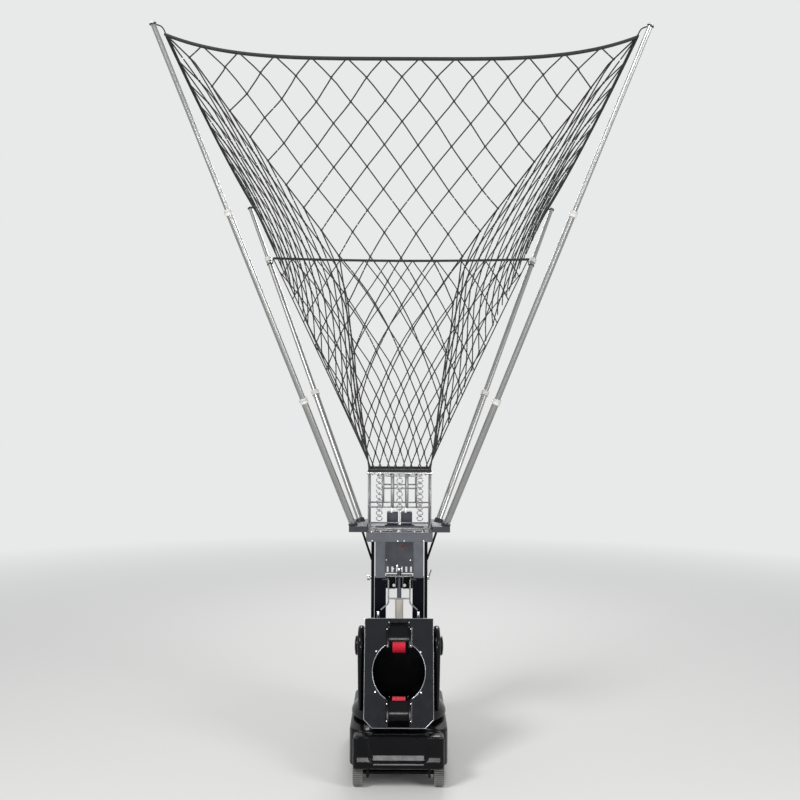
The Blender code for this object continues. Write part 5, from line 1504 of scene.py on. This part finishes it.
    def tie(
        self, line: PoleLine, distance: float, radius: float, part: str, word: str, corner: Array
    ) -> None:
        """Two turns of thin cord round a pole; the end runs level, then bends to the corner by share^4.

        Args:
            line: The pole.
            distance: How far along the pole the tie sits.
            radius: The tube's radius there.
            part: The tube that carries it.
            word: What its name ends with.
            corner: Where its end meets the net.
        """
        turn = np.linspace(0, 4 * math.pi, 60)[:, None]
        level, lift, along = across(line.direction)
        spoke = (np.cos(turn) * level + np.sin(turn) * lift) * (radius + 0.0016)
        coil = line.at(distance) + spoke + along * (turn / (2 * math.pi) - 1.0) * self.tie_pitch
        start = self.inwards(line.at(distance), radius + 0.002)
        share = np.linspace(0, 1, 9)[:, None]
        reach = (corner - start) * (1, 1, 0)
        drop = (corner - start) * UP
        end = start + reach * share + drop * share**4
        coil_skin = tube(coil, self.tie_cord, 6, guide=tuple(along))
        end_skin = tube(end, self.tie_cord * 2, 6, guide=tuple(level))
        put(f"{line.name}_tie_{word}", [coil_skin, end_skin], f"{line.name}_{part}", NET_CORD, 75)

    def hem(self) -> None:
        """The gathered foot: a rope round the cage's top ring and loops that pass under its rods."""
        corner = np.array([(-1, -1, 1), (1, -1, 1), (1, 1, 1), (-1, 1, 1), (-1, -1, 1)])
        path = rounded_path(corner * self.hem_rope, 0.01)
        skins = [tube(path, 0.0046, 8, guide=UP), tube(path + (0, 0, 0.0075), 0.0036, 8, guide=UP)]
        angle = circle(14)[:, None]
        places = corner * self.hem_loops
        for start, end in zip(places, places[1:]):
            run = unit(end - start)
            out = np.array((run[1], -run[0], 0.0))
            wide, tall, low, slant = self.hem_loop
            loop = np.cos(angle) * out * wide + (np.sin(angle) * tall - low) * UP
            loop = loop + run * slant * np.sin(angle)
            for share in (np.arange(7) + 0.5) / 7:
                place = start + (end - start) * share + loop
                skins.append(tube(place, 0.0019, 6, guide=tuple(run), loop=True))
        put("net_hem", skins, "carriage", NET_CORD, 75)


@dataclass
class Cage:
    """The ball cage: its rods, bright top rail, hanging chains and the gate drive."""

    x: float = 0.162
    y: float = 0.129
    rod: float = 0.008
    top: float = 1.545
    middle: float = 1.366
    bar: float = 1.464
    ring: float = 1.2535
    foot: float = 1.2355
    inner: tuple[float, ...] = (-0.088, -0.038, 0.038, 0.088)
    strip: float = 0.038
    strip_width: float = 0.017
    chain_x: tuple[float, ...] = (-0.106, 0.0, 0.106)
    chain_rings: tuple[int, ...] = (8, 5, 8)
    chain_pitch: tuple[float, ...] = (0.0285, 0.0345, 0.0285)
    chain_wide: tuple[float, ...] = (0.0148, 0.0138, 0.0148)
    chain_top: float = 1.5200
    chain_wire: float = 0.0026
    link: float = 0.0052
    hang: float = 1.5300
    hooks: tuple[float, ...] = (-0.112, -0.05, 0.05, 0.112)
    nuts: tuple[float, ...] = (1.3440, 1.3120, 1.2790)

    def build(self) -> None:
        """Makes the cage's bars, its chains, rail and gate fittings."""
        self.bars()
        self.rail()
        self.chains()
        self.fittings()
        eased("gate_drive", PANEL_GREY, 0.0015)
        eased("ball_gate", ZINC, 0.0006)

    def bars(self) -> None:
        """The welded cage of square bars with rounded edges."""
        x, y, high = self.x, self.y, self.top - self.rod / 2
        rings = (self.ring, self.middle, high)
        rods = [((-x, s * y, z), (x, s * y, z)) for z in rings for s in (-1, 1)]
        rods += [((s * x, -y, z), (s * x, y, z)) for z in rings for s in (-1, 1)]
        rods += [((sx * x, sy * y, self.foot), (sx * x, sy * y, high)) for sx in (-1, 1) for sy in (-1, 1)]
        rods += [((s * x, 0, self.ring), (s * x, 0, high)) for s in (-1, 1)]
        rods += [((i, s * y, self.middle), (i, s * y, high)) for i in self.inner for s in (-1, 1)]
        rods += [((self.inner[0], s * y, self.bar), (self.inner[-1], s * y, self.bar)) for s in (-1, 1)]
        skins = []
        for low, far in rods:
            under = np.array([self.rod / 2] * 3)
            over = under.copy()
            if low[2] == self.foot:
                under[2] = 0
            if low[0] == far[0] and abs(low[0]) == self.strip:
                under[0] = over[0] = self.strip_width / 2
            skins.append(soft_box(np.asarray(low) - under, np.asarray(far) + over, 0.0016, 2))
        put("cage_bars", skins, "carriage", CAGE_STEEL, 50, "ball_cage", "zinc")

    def rail(self) -> None:
        """The bright round rail in front of the cage's top rod, with a ball end at each corner."""
        end, y, z = 0.166, -self.y - 0.0085, 1.5440
        ball = [(0, -0.0078), (0.0058, -0.0054), (0.0078, 0), (0.0058, 0.0054), (0, 0.0078)]
        skins = [tube(points(np.linspace(-end, end, 24), y, z), 0.0046, 14, guide=UP)]
        skins += [revolved(ball, (x, y, z), RIGHT, 18) for x in (-end, end)]
        put("cage_rail", skins, "carriage", ZINC)

    def chains(self) -> None:
        """Three chains of wide rings, each joined to the next by a small link that is turned square to it."""
        y = -self.y - self.rod / 2 - 0.0003 - 0.0165
        angle, wire = circle(24), self.chain_wire
        ring = points(np.cos(angle), 0, np.sin(angle))
        link = points(0, np.cos(angle), np.sin(angle) * 1.35) * self.link
        skins = []
        for x, count, pitch, wide in zip(self.chain_x, self.chain_rings, self.chain_pitch, self.chain_wide):
            tall = pitch / 2 - wire
            for number in range(count):
                centre = np.array((x, y, self.chain_top - tall - number * pitch))
                skins.append(tube(centre + ring * (wide, 1, tall), wire, 8, guide=BACK, loop=True))
                skins.append(tube(centre + (0, 0, tall + wire) + link, 0.0016, 7, guide=RIGHT, loop=True))
        skins.append(tube(points(np.linspace(-0.118, 0.118, 16), y, self.hang), 0.0036, 12, guide=UP))
        for x in self.hooks:
            hook = rounded_path([(x, y, self.hang), (x, y + 0.010, 1.5400), (x, -self.y, 1.5440)], 0.005)
            skins.append(tube(hook, wire, 8, guide=RIGHT))
        put("brake_chain_rings", skins, "carriage", CHAIN_STEEL, node="brake_chains", slot="zinc")

    def fittings(self) -> None:
        """Bright brackets over the gate's blocks, and a short row of round nuts on a stem between them."""
        brackets = (-0.042, 0.032)
        skins = [
            soft_box((x - 0.0060, -0.1240, 1.3350), (x + 0.0060, -0.1125, 1.3740), 0.002) for x in brackets
        ]
        nut = [(0, -0.001), (0.0052, -0.001), (0.0052, 0.002), (0.0040, 0.0042), (0, 0.0052)]
        skins += [revolved(nut, (0.003, -0.1240, z), FRONT, 16) for z in self.nuts]
        skins.append(tube(points(0.003, -0.1215, np.array((1.2720, 1.3100, 1.3660))), 0.0030, 8, guide=RIGHT))
        put("gate_fittings", skins, "carriage", ZINC)


@dataclass
class Platform:
    """The platform on the tower: its frame, side plates, panel, guards and fixings.

    Rows of like screws hold their x values, a place (y, z), the way out, and a head's radius and height.
    """

    rows: tuple[tuple, ...] = (
        ((-0.146, -0.009, 0.122), (-0.1335, 1.2350), UP, 0.0056, 0.0048),
        ((-0.142, -0.009, 0.0245, 0.126), (-0.140, 1.1905), FRONT, 0.0044, 0.0036),
        ((-0.0730, 0.0620), (0.2417, 1.030), FRONT, 0.0046, 0.0036),
    )
    slots: tuple[float, float] = (-0.098, 0.078)
    cap_nut: tuple[float, float, float] = (0.024, 0.2415, 1.105)
    clevis: tuple[tuple, ...] = (
        ((-0.0190, 0.2300, 0.9860), (-0.0060, 0.2414, 1.0060), 0.003),
        ((-0.0110, 0.2290, 0.9680), (0.0040, 0.2414, 0.9870), 0.003),
        ((-0.0345, 0.2360, 0.9780), (-0.0285, 0.2414, 0.9860), 0.001),
        ((0.0085, 0.2360, 0.9780), (0.0145, 0.2414, 0.9860), 0.001),
    )

    def build(self) -> None:
        """Dresses the solids and adds screws, slots and locks."""
        eased("platform_frame", POWDER_GREY, 0.0020)
        for _, word in SIDES:
            eased(f"platform_plate_{word}", POWDER_SLATE, 0.0020)
            eased(f"side_guard_{word}", TUBE_DARK, 0.0008)
        eased("centre_panel", PANEL_GREY, 0.0004)
        self.screws()
        dress("lock_knob", ZINC)
        dress("lock_lever", ZINC)

    def screws(self) -> None:
        """Bolts on the frame's top, screws on its front and the panel, slot nuts, cap nut and clevis."""
        screws = [socket_screw((x, *at), out, *size) for xs, at, out, *size in self.rows for x in xs]
        put("frame_screws", screws, "carriage", ZINC)
        outline = rounded_outline(0.034, 0.009, 0.0044)
        slots = [slab(outline, (x, -0.1335, 1.2350), UP, 0.0034, 0.0006) for x in self.slots]
        put("frame_slot_nuts", slots, "carriage", ZINC)
        dome = [
            (0, -0.0005), (0.0072, -0.0005), (0.0072, 0.005), (0.0060, 0.010), (0.0035, 0.0125), (0, 0.0130),
        ]
        put("panel_cap_nut", revolved(dome, self.cap_nut, FRONT, 28), "carriage", RED_PLASTIC)
        put("rod_clevis", [soft_box(*box) for box in self.clevis], "carriage", ZINC)


@dataclass
class Tower:
    """The tower: outer and inner tubes, the actuator, the bridge and the ball rails."""

    rail_y: float = 0.1450
    rail_x: float = 0.0593
    bead: tuple[float, float, float] = (0.0030, 0.0018, 0.0110)
    bar_z: float = 0.8330
    box_x: tuple[float, float] = (0.0200, 0.0650)
    roller: tuple[float, float] = (0.0300, 0.8860)

    def build(self) -> None:
        """Dresses the tower's solids."""
        for _, word in SIDES:
            eased(f"tower_outer_{word}", TUBE_DARK, 0.0022, 3)
            eased(f"tower_inner_{word}", TUBE_GREY, 0.0030, 3)
        dress("actuator_tube", CREAM)
        dress("actuator_rod", TUBE_GREY)
        eased("tower_bridge", SATIN_BLACK, 0.0012)
        self.rails()
        self.fittings()

    def rails(self) -> None:
        """The ball's guide rails: rods with a beaded middle run, joined by a crossbar.

        On that run the radius is thin + swell * |sin(pi * rise / pitch)|.
        """
        x, y = self.rail_x, self.rail_y
        foot = np.array([(0.1010, 0.1330, 0.7725), (0.0653, y, 0.8020), (x, y, 0.8120)])
        top = np.array([(x, y, 0.9320), (0.0610, 0.1520, 0.9390), (0.0930, 0.2447, 0.9190)])
        thin, swell, pitch = self.bead
        skins = []
        for side, _ in SIDES:
            mirror = (side, 1, 1)
            rise = np.linspace(foot[-1], top[0], 120) * mirror
            beads = thin + swell * np.abs(np.sin(math.pi * (rise[:, 2] - rise[0, 2]) / pitch))
            skins.append(tube(rise, beads, 10, guide=BACK))
            skins.append(tube(rounded_path(foot * mirror, 0.006), 0.0044, 10, guide=BACK))
            skins.append(tube(rounded_path(top * mirror, 0.006), 0.0038, 10, guide=RIGHT))
        skins.append(tube(points(np.linspace(-x, x, 8), y, self.bar_z), 0.0042, 10, guide=UP))
        put("ball_rail_rods", skins, body_of("ball_rails"), STEEL_AND_EDGE_HIGHLIGHT, node="ball_rails", slot="powder_grey")

    def fittings(self) -> None:
        """The bridge's light top edge, its two rollers, and light edges on its boxes."""
        body = body_of("tower_bridge")
        skins = [soft_box((-0.0745, 0.2500, 0.9330), (0.0745, 0.2555, 0.9395), 0.0015)]
        for side, _ in SIDES:
            ends = sorted(side * x for x in self.box_x)
            skins += [
                soft_box((x - 0.0014, 0.2525, 0.8680), (x + 0.0014, 0.2550, 0.9330), 0.0010) for x in ends
            ]
            skins.append(soft_box((ends[0], 0.2525, 0.8660), (ends[1], 0.2550, 0.8690), 0.0010))
        put("bridge_edges", skins, body, STEEL_AND_EDGE_HIGHLIGHT)
        wheel = [(0, 0), (0.0082, 0), (0.0090, 0.001), (0.0090, 0.006), (0.0074, 0.0078), (0, 0.0080)]
        x, z = self.roller
        rollers = [revolved(wheel, (s * x, 0.2545, z), FRONT, 24) for s, _ in SIDES]
        put("bridge_rollers", rollers, body, SHELL_WHITE)


@dataclass
class Head:
    """The launch head: its face, hoods, wheels and motors."""

    pivot: tuple[float, float, float] = (0.0, -0.130, 0.643)
    lean: float = math.radians(15.0)
    wheel_depth: float = -0.060
    wheels_at: tuple[tuple[str, float], ...] = (("top", 0.038), ("bottom", -0.328))
    wheel_radius: float = 0.075
    wheel_half: float = 0.035
    tread: tuple[tuple[float, float], ...] = (
        (0.0004, -0.0040), (0, -0.0030), (0, 0.0030), (0.0004, 0.0040), (0.0018, 0.0044),
    )
    tread_step: float = 0.0095
    tread_start: float = 0.0065
    hub: tuple[tuple[float, float], ...] = (
        (0, -0.0436), (0.0098, -0.0436), (0.0098, -0.024), (0.018, -0.022), (0.022, -0.026), (0.042, -0.028),
        (0.0482, -0.0335), (0.0482, 0.0335), (0.042, 0.028), (0.022, 0.026), (0.018, 0.022), (0.0098, 0.024),
        (0.0098, 0.0436), (0, 0.0436),
    )
    hood_gap: float = 0.008
    hood_half: float = 0.0440
    hood_spans: tuple[tuple[float, float], ...] = ((90.0, 196.0), (136.0, 270.0))
    lip: tuple[float, float, float] = (0.0480, 0.0660, 0.62)
    # x of the painted highlight lines on the right hood lip, and their reach as a share of the hood's radius.
    fold: tuple[float, float, float] = (0.0487, 0.0653, 0.60)
    lip_bolt: tuple[float, float] = (0.0605, 0.50)
    face: float = -0.115
    face_edge: tuple[float, float, float, float] = (0.1752, -0.4037, 0.1327, 0.0415)
    hole: tuple[float, float, float] = (0.1352, 0.1510, -0.131)
    face_bolts: tuple[tuple[float, float], ...] = (
        (-0.116, -0.031), (0.110, -0.035), (-0.119, -0.230), (0.112, -0.232),
    )
    posts: tuple[float, float] = (-0.110, 0.101)

    def place(self, skin: Skin) -> Skin:
        """Turns a skin from the head's own frame into the machine's.

        y' = y cos(lean) + z sin(lean) and z' = -y sin(lean) + z cos(lean), then the pivot is added.

        Args:
            skin: A skin in the head's frame.

        Returns:
            The skin in the machine's frame.
        """
        c, s = math.cos(self.lean), math.sin(self.lean)
        turn = np.array(((1, 0, 0), (0, c, -s), (0, s, c)))
        return Skin(skin.points @ turn + np.asarray(self.pivot), skin.faces)

    def put(self, name: str, skins: list[Skin], body: str, *rest: object) -> bpy.types.Object:
        """A piece given in the head's own frame; the rest is what put takes after the body."""
        return put(name, self.place(joined(skins)), body, *rest)

    def build(self) -> None:
        """Dresses the head's solids and makes its wheels and fixings."""
        eased("face_plate", POWDER_BLACK, 0.0014)
        eased("head_housing", SATIN_BLACK, 0.0012)
        self.hoods()
        self.rims()
        dress("launch_motor_top", TUBE_DARK)
        dress("launch_motor_bottom", TUBE_DARK)
        self.wheels()
        self.screws()

    def hoods(self) -> None:
        """The wheel hoods: a smooth round band between two cheeks, each cheek with a lip on the face.

        The band is a strip bent round the wheel: (cos a, sin a) times its outer, then its inner radius.
        """
        outer, half = self.wheel_radius + self.hood_gap, self.hood_half
        wide = half + 0.0012
        section = (
            (-wide, outer - 0.0020), (-half, outer - 0.0008), (half, outer - 0.0008),
            (wide, outer - 0.0020), (wide, outer - 0.0045), (-wide, outer - 0.0045),
        )
        disc = [
            (0, 0), (outer - 0.0016, 0), (outer, 0.0014), (outer, 0.0046), (outer - 0.0016, 0.0060),
            (0, 0.0060),
        ]
        near, far, share = self.lip
        tall = outer * share
        for (word, height), span in zip(self.wheels_at, self.hood_spans):
            centre = np.array((0.0, self.wheel_depth, height))
            angle = np.radians(np.linspace(*span, 49))
            arc = points(0, np.cos(angle), np.sin(angle))
            skins = [loft(np.stack([centre + arc * radius + (x, 0, 0) for x, radius in section], axis=1))]
            for side, _ in SIDES:
                skins.append(revolved(disc, centre + (side * half, 0, 0), (side, 0, 0), 72))
                low, high = sorted((side * near, side * far))
                skins.append(soft_box((low, -0.1183, height - tall), (high, -0.1153, height + tall), 0.0012))
            self.put(f"hood_{word}", skins, "head", GLOSS_BLACK, 40, f"wheel_hood_{word}", "gloss_black")
            # Two thin lines of light steel on the right cheek's lip only: a painted highlight for the light
            # that lip catches.
            reach = outer * self.fold[2] * np.array((-1, 0, 1))
            folds = [
                tube(points(x, -0.1190, height + reach), 0.0013, 8, guide=RIGHT) for x in self.fold[:2]
            ]
            self.put(f"hood_lip_highlights_{word}", folds, "head", STEEL_AND_EDGE_HIGHLIGHT)
            out, up = self.lip_bolt
            bolts = [
                socket_screw((side * out, -0.1183, height + way * up * outer), FRONT, 0.0036, 0.0026)
                for side, _ in SIDES for way in (-1, 1)
            ]
            self.put(f"hood_bolts_{word}", bolts, "head", ZINC)

    def rims(self) -> None:
        """Thin beads of light steel along the face plate's outline and the launch hole's two sides: a painted
        highlight on those edges, heavier along the plate's bottom.
        """
        wide, low, high, cut = self.face_edge
        corner = [
            (-wide + cut, low), (wide - cut, low), (wide, low + cut), (wide, high), (-wide, high),
            (-wide, low + cut),
        ]
        ends = zip(corner, corner[1:] + corner[:1])
        edge = np.vstack([np.linspace(a, b, 12, endpoint=False) for a, b in ends])
        # The thicker bead along the bottom is a broader painted highlight.
        size = np.where(edge[:, 1] < low + cut, 0.0024, 0.0015)
        skins = [tube(points(edge[:, 0], self.face + 0.0008, edge[:, 1]), size, 8, guide=BACK, loop=True)]
        across_hole, up_hole, middle = self.hole
        angle = circle(72)
        hole = points(across_hole * np.cos(angle), self.face + 0.001, middle + up_hole * np.sin(angle))
        # Beads on the hole's left and right sides only: a painted highlight on the hole's lip.
        for side, _ in SIDES:
            part = hole[hole[:, 0] * side > self.lip[1]]
            skins.append(tube(part[np.argsort(part[:, 2])], 0.0021, 8, guide=BACK))
        self.put("face_rim_highlights", skins, "head", STEEL_AND_EDGE_HIGHLIGHT)
        posts = [
            soft_box((x - 0.006, -0.112, 0.7700), (x + 0.006, -0.100, 0.8166), 0.002) for x in self.posts
        ]
        put("head_posts", posts, "head", ZINC)

    def wheels(self) -> None:
        """Red launch wheels: a tyre with a crowned, grooved tread on a spoked hub."""
        half, radius = self.wheel_half, self.wheel_radius
        middles = -half + self.tread_start + np.arange(7) * self.tread_step
        profile = [
            (0.048, -half + 0.001), (radius - 0.010, -half), (radius - 0.003, -half + 0.0015),
            *((radius - deep, middle + x) for middle in middles for deep, x in self.tread),
            (radius - 0.003, half - 0.0015), (radius - 0.010, half), (0.048, half - 0.001),
        ]
        for word, height in self.wheels_at:
            centre, body = (0, self.wheel_depth, height), f"launch_wheel_{word}"
            tyre = revolved(profile, centre, RIGHT, 72, loop=True)
            self.put(f"launch_tyre_{word}", [tyre], body, RED_RUBBER, 30, body, "red_rubber")
            self.put(f"launch_hub_{word}", [revolved(self.hub, centre, RIGHT, 48)], body, SATIN_BLACK, 30)

    def screws(self) -> None:
        """The four bright screws round the launch hole."""
        skins = [socket_screw((x, self.face, z), FRONT, 0.0052, 0.0036) for x, z in self.face_bolts]
        self.put("face_screws", skins, "head", ZINC)


@dataclass
class Yoke:
    """The turntable and the two arms, each a rounded blade that stands on a domed lobe."""

    inner: float = 0.1803
    outer: float = 0.2130
    soft: float = 0.0145
    pivot: tuple[float, float] = (-0.130, 0.643)
    head: float = 0.1027
    foot: tuple[tuple[float, float], ...] = ((0.085, 0.300), (0.055, 0.445))
    front: tuple[float, float] = (-0.130, 0.300)
    dome: tuple[tuple[float, float], ...] = (
        (0.2510, 0.272), (0.2497, 0.280), (0.2460, 0.289), (0.2395, 0.299), (0.2310, 0.310), (0.2215, 0.321),
        (0.2110, 0.333), (0.2005, 0.345), (0.1900, 0.356), (0.1815, 0.364),
    )

    cover: tuple[tuple[float, float], ...] = (
        (0, -0.006), (0.0500, -0.006), (0.0500, 0.0080), (0.0488, 0.0112), (0.0455, 0.0138), (0.0400, 0.0152),
        (0.0290, 0.0160), (0.0268, 0.0172), (0.0240, 0.0175), (0, 0.0175),
    )
    pin: tuple[tuple[float, float], ...] = (
        (0, 0.028), (0.012, 0.028), (0.012, 0.0515), (0.0108, 0.0527), (0, 0.0527),
    )

    def build(self) -> None:
        """Dresses the turntable and makes the arms."""
        eased("turntable", SATIN_BLACK, 0.0015)
        for side, word in SIDES:
            node = f"yoke_arm_{word}"
            skins = [self.blade(side), self.lobe(side), self.cap(side)]
            put(f"arm_{word}", skins, body_of(node), GLOSS_BLACK, 45, node, "gloss_black")

    def outline(self) -> Array:
        """The blade seen from the side: its foot, the round head and the front, evenly spaced, as (y, z).

        Returns:
            The outline's points.
        """
        turn = np.radians(np.linspace(15, 195, 40))
        head = points(np.cos(turn), np.sin(turn)) * self.head + self.pivot
        corner = np.vstack((self.foot, head, self.front))
        closed = np.vstack((corner, corner[:1]))
        along = np.concatenate(([0], np.cumsum(np.linalg.norm(np.diff(closed, axis=0), axis=1))))
        place = np.linspace(0, along[-1], 161)[:-1]
        return points(*(np.interp(place, along, closed[:, k]) for k in (0, 1)))

    def blade(self, side: int) -> Skin:
        """The blade: its outline at each x, drawn in by soft (1 - sin t) at soft (1 - cos t) from a face.

        Args:
            side: -1 for the left arm and 1 for the right.

        Returns:
            The blade's skin.
        """
        shape = self.outline()
        along = np.roll(shape, -1, axis=0) - np.roll(shape, 1, axis=0)
        inwards = unit(points(-along[:, 1], along[:, 0]))
        rings = []
        for angle in np.radians(np.linspace(0, 90, 7)):
            drawn = shape + inwards * self.soft * (1 - math.sin(angle))
            rings.append((self.inner + self.soft * (1 - math.cos(angle)), drawn))
        rings += [(self.inner + self.outer - x, drawn) for x, drawn in rings[::-1]]
        return loft(np.stack([points(side * x, drawn[:, 0], drawn[:, 1]) for x, drawn in rings]))

    def lobe(self, side: int) -> Skin:
        """The dome under the blade: at each height the part of a circle that lies outside the inner face.

        Args:
            side: -1 for the left arm and 1 for the right.

        Returns:
            The lobe's skin.
        """
        foot = float(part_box("yoke_arm_left")[0][2])
        rings = []
        for radius, z in ((self.dome[0][0], foot), *self.dome):
            reach = math.acos(self.inner / radius)
            angle = np.linspace(-reach, reach, 41)
            rings.append(points(side * radius * np.cos(angle), radius * np.sin(angle), z))
        return loft(np.stack(rings))

    def cap(self, side: int) -> Skin:
        """The pivot's round cap outside and its pin inside."""
        at = (side * self.outer, *self.pivot)
        return revolved(self.cover, at, (side, 0, 0), 56) + revolved(self.pin, at, (-side, 0, 0), 28)


@dataclass
class Base:
    """The base: chassis, shell, bumper, wheels and casters."""

    wheel_x: float = 0.2016
    wheel_y: float = -0.343
    wheel_radius: float = 0.065
    wheel_half: float = 0.025
    rib_places: tuple[float, ...] = (-0.0162, 0.0, 0.0162)
    rib: tuple[tuple[float, float], ...] = ((0.0030, -0.0076), (0, -0.0066), (0, 0.0066), (0.0030, 0.0076))
    lugs: int = 38
    lug_depth: float = 0.0045
    hub: tuple[tuple[float, float], ...] = (
        (0.0108, -0.021), (0.022, -0.021), (0.026, -0.014), (0.038, -0.014), (0.0442, -0.022),
        (0.0442, 0.022), (0.038, 0.014), (0.026, 0.014), (0.022, 0.021), (0.0108, 0.021),
    )
    bumper: tuple[float, float, float] = (0.226, 0.022, -0.430)
    shoulder: tuple[float, float, float, float] = (0.0012, 0.0071, 0.176, 0.036)
    recess_levels: tuple[float, ...] = (0.139, 0.152, 0.165, 0.266)
    recess_widths: tuple[float, ...] = (0.120, 0.134, 0.142, 0.152)
    recess_foot: float = 0.1405
    recess_depth: float = 0.0036
    chamfer: tuple[float, float] = (0.0021, 0.0075)
    ledge: tuple[float, float, float] = (0.0064, 0.177, 0.023)
    studs: tuple[float, float] = (-0.086, 0.089)

    def build(self) -> None:
        """Dresses the base's solids and makes its tyres."""
        eased("chassis", POWDER_BLACK, 0.0010)
        eased("base_shell", GLOSS_BLACK, 0.0030, 3)
        eased("front_bumper", GLOSS_BLACK, 0.0020, 3)
        self.bumper_cover()
        dress("front_axle", SATIN_BLACK)
        self.front_wheels()
        for _, word in SIDES:
            eased(f"caster_fork_{word}", ZINC, 0.0006)
            dress(f"caster_wheel_{word}", GREY_RUBBER)

    def bumper_cover(self) -> None:
        """The bumper's moulded front: a low shoulder, a funnel-shaped recess with a ledge, and two studs.

        At (x, z) the cover stands proud of the solid by low + more * s((top - z) / fall) on the shoulder,
        and inside the recess by the ledge's ramp less the recess's depth. A chamfer runs round the recess.
        s is the smooth step.
        """
        half, corner, front = self.bumper
        low, more, top, fall = self.shoulder
        x = (np.linspace(0, 0.2235, 34), np.linspace(0.108, 0.156, 33), np.linspace(0.204, 0.2235, 10))
        z = (np.linspace(0.1112, 0.2620, 40), np.linspace(0.128, 0.180, 45))
        x, z = (np.unique(np.concatenate(values).round(5)) for values in (x, z))
        x, z = np.meshgrid(np.concatenate((-x[:0:-1], x)), z)
        solid = front + corner - np.sqrt(corner**2 - np.maximum(np.abs(x) - (half - corner), 0) ** 2)
        shoulder = low + more * smooth_step((top - z) / fall)
        shoulder *= 1 - np.clip((0.122 - z) / 0.011, 0, 1) ** 2
        shoulder *= smooth_step((0.268 - z) / 0.010)
        within = np.interp(z, self.recess_levels, self.recess_widths) - np.abs(x)
        above = z - self.recess_foot
        inside = smooth_step(within / 0.006) * smooth_step(above / 0.004)
        deep, wide = self.chamfer
        rim = deep * np.clip(1 + np.minimum(within, above) / wide, 0, 1)
        rise, top, fall = self.ledge
        ledge = rise * np.clip((top - z) / fall, 0, 1) * smooth_step((z - 0.1500) / 0.003)
        ledge *= smooth_step((0.132 - np.abs(x)) / 0.004)
        proud = (shoulder - rim) * (1 - inside) + (ledge - self.recess_depth) * inside
        face, back = points(x, solid - proud, z), points(x, solid + 0.0075, z)[:, ::-1]
        body = body_of("front_bumper")
        put("bumper_cover", loft(np.concatenate((face, back), axis=1)), body, GLOSS_BLACK, 60)
        stud = [(0, -0.002), (0.0050, -0.002), (0.0050, 0.0022), (0.0036, 0.0034), (0, 0.0036)]
        studs = [revolved(stud, (x, -0.4180, 0.2660), UP, 24) for x in self.studs]
        put("bumper_studs", studs, body, SATIN_BLACK)

    def lugged(self, skin: Skin, centre: Point) -> Skin:
        """A tread with cross grooves: its outer points come in by a groove where cos(lugs * angle) is low.

        Args:
            skin: The tyre's skin.
            centre: The wheel's centre.

        Returns:
            The skin with its grooves.
        """
        x, y, z = (skin.points - centre).T
        radius = np.hypot(y, z)
        low = (radius > self.wheel_radius - 0.0012) & (np.cos(self.lugs * np.arctan2(z, y)) < 0.1)
        scale = np.where(low, (self.wheel_radius - self.lug_depth) / radius, 1.0)
        return Skin(points(x, y * scale, z * scale) + centre, skin.faces)

    def front_wheels(self) -> None:
        """Grey tyres on dark hubs, with three ribs of lugs in the tread and dark rubber between the lugs."""
        half, radius = self.wheel_half, self.wheel_radius
        tyre = [
            (0.044, -half + 0.002), (0.050, -half), (radius - 0.006, -half), (radius - 0.002, -half + 0.002),
            *((radius - deep, middle + x) for middle in self.rib_places for deep, x in self.rib),
            (radius - 0.002, half - 0.002), (radius - 0.006, half), (0.050, half), (0.044, half - 0.002),
        ]
        deep = radius - 0.0032
        gap = [(0.046, -0.0215), (deep, -0.0215), (deep, 0.0215), (0.046, 0.0215)]
        for side, word in SIDES:
            centre, body = (side * self.wheel_x, self.wheel_y, radius), f"front_wheel_{word}"
            skin = self.lugged(revolved(tyre, centre, RIGHT, 228, loop=True), centre)
            put(f"front_tyre_{word}", skin, body, GREY_RUBBER, 30, body, "grey_rubber")
            put(f"front_carcass_{word}", revolved(gap, centre, RIGHT, 76, loop=True), body, BLACK_RUBBER, 30)
            put(f"front_hub_{word}", revolved(self.hub, centre, RIGHT, 40, loop=True), body, SATIN_BLACK, 30)


@dataclass
class Cabinet:
    """The rear cabinet with its controls and push handle."""

    def build(self) -> None:
        """Dresses the cabinet's solids."""
        eased("rear_cabinet", POWDER_BLACK, 0.0020, 3)
        dress("push_handle", TUBE_DARK)
        eased("power_switch", RED_PLASTIC, 0.0006)
        dress("stop_button", RED_PLASTIC)
        eased("speed_dial", SATIN_BLACK, 0.0005)
        eased("mains_inlet", SATIN_BLACK, 0.0008)


def main() -> None:
    """Builds the studio and each sub-assembly in order."""
    Studio().build()
    for part in (Net(), Poles(), Cage(), Platform(), Tower(), Head(), Yoke(), Base(), Cabinet()):
        log.info("building %s", type(part).__name__)
        part.build()


def corners(box: Sequence) -> list[list[float]]:
    """A box's two corners as plain lists."""
    return [[float(v) for v in corner] for corner in box]


if __name__ == "__main__":
    main()
    {"cad": corners(CAD_BOX), "visual": corners(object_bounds())}
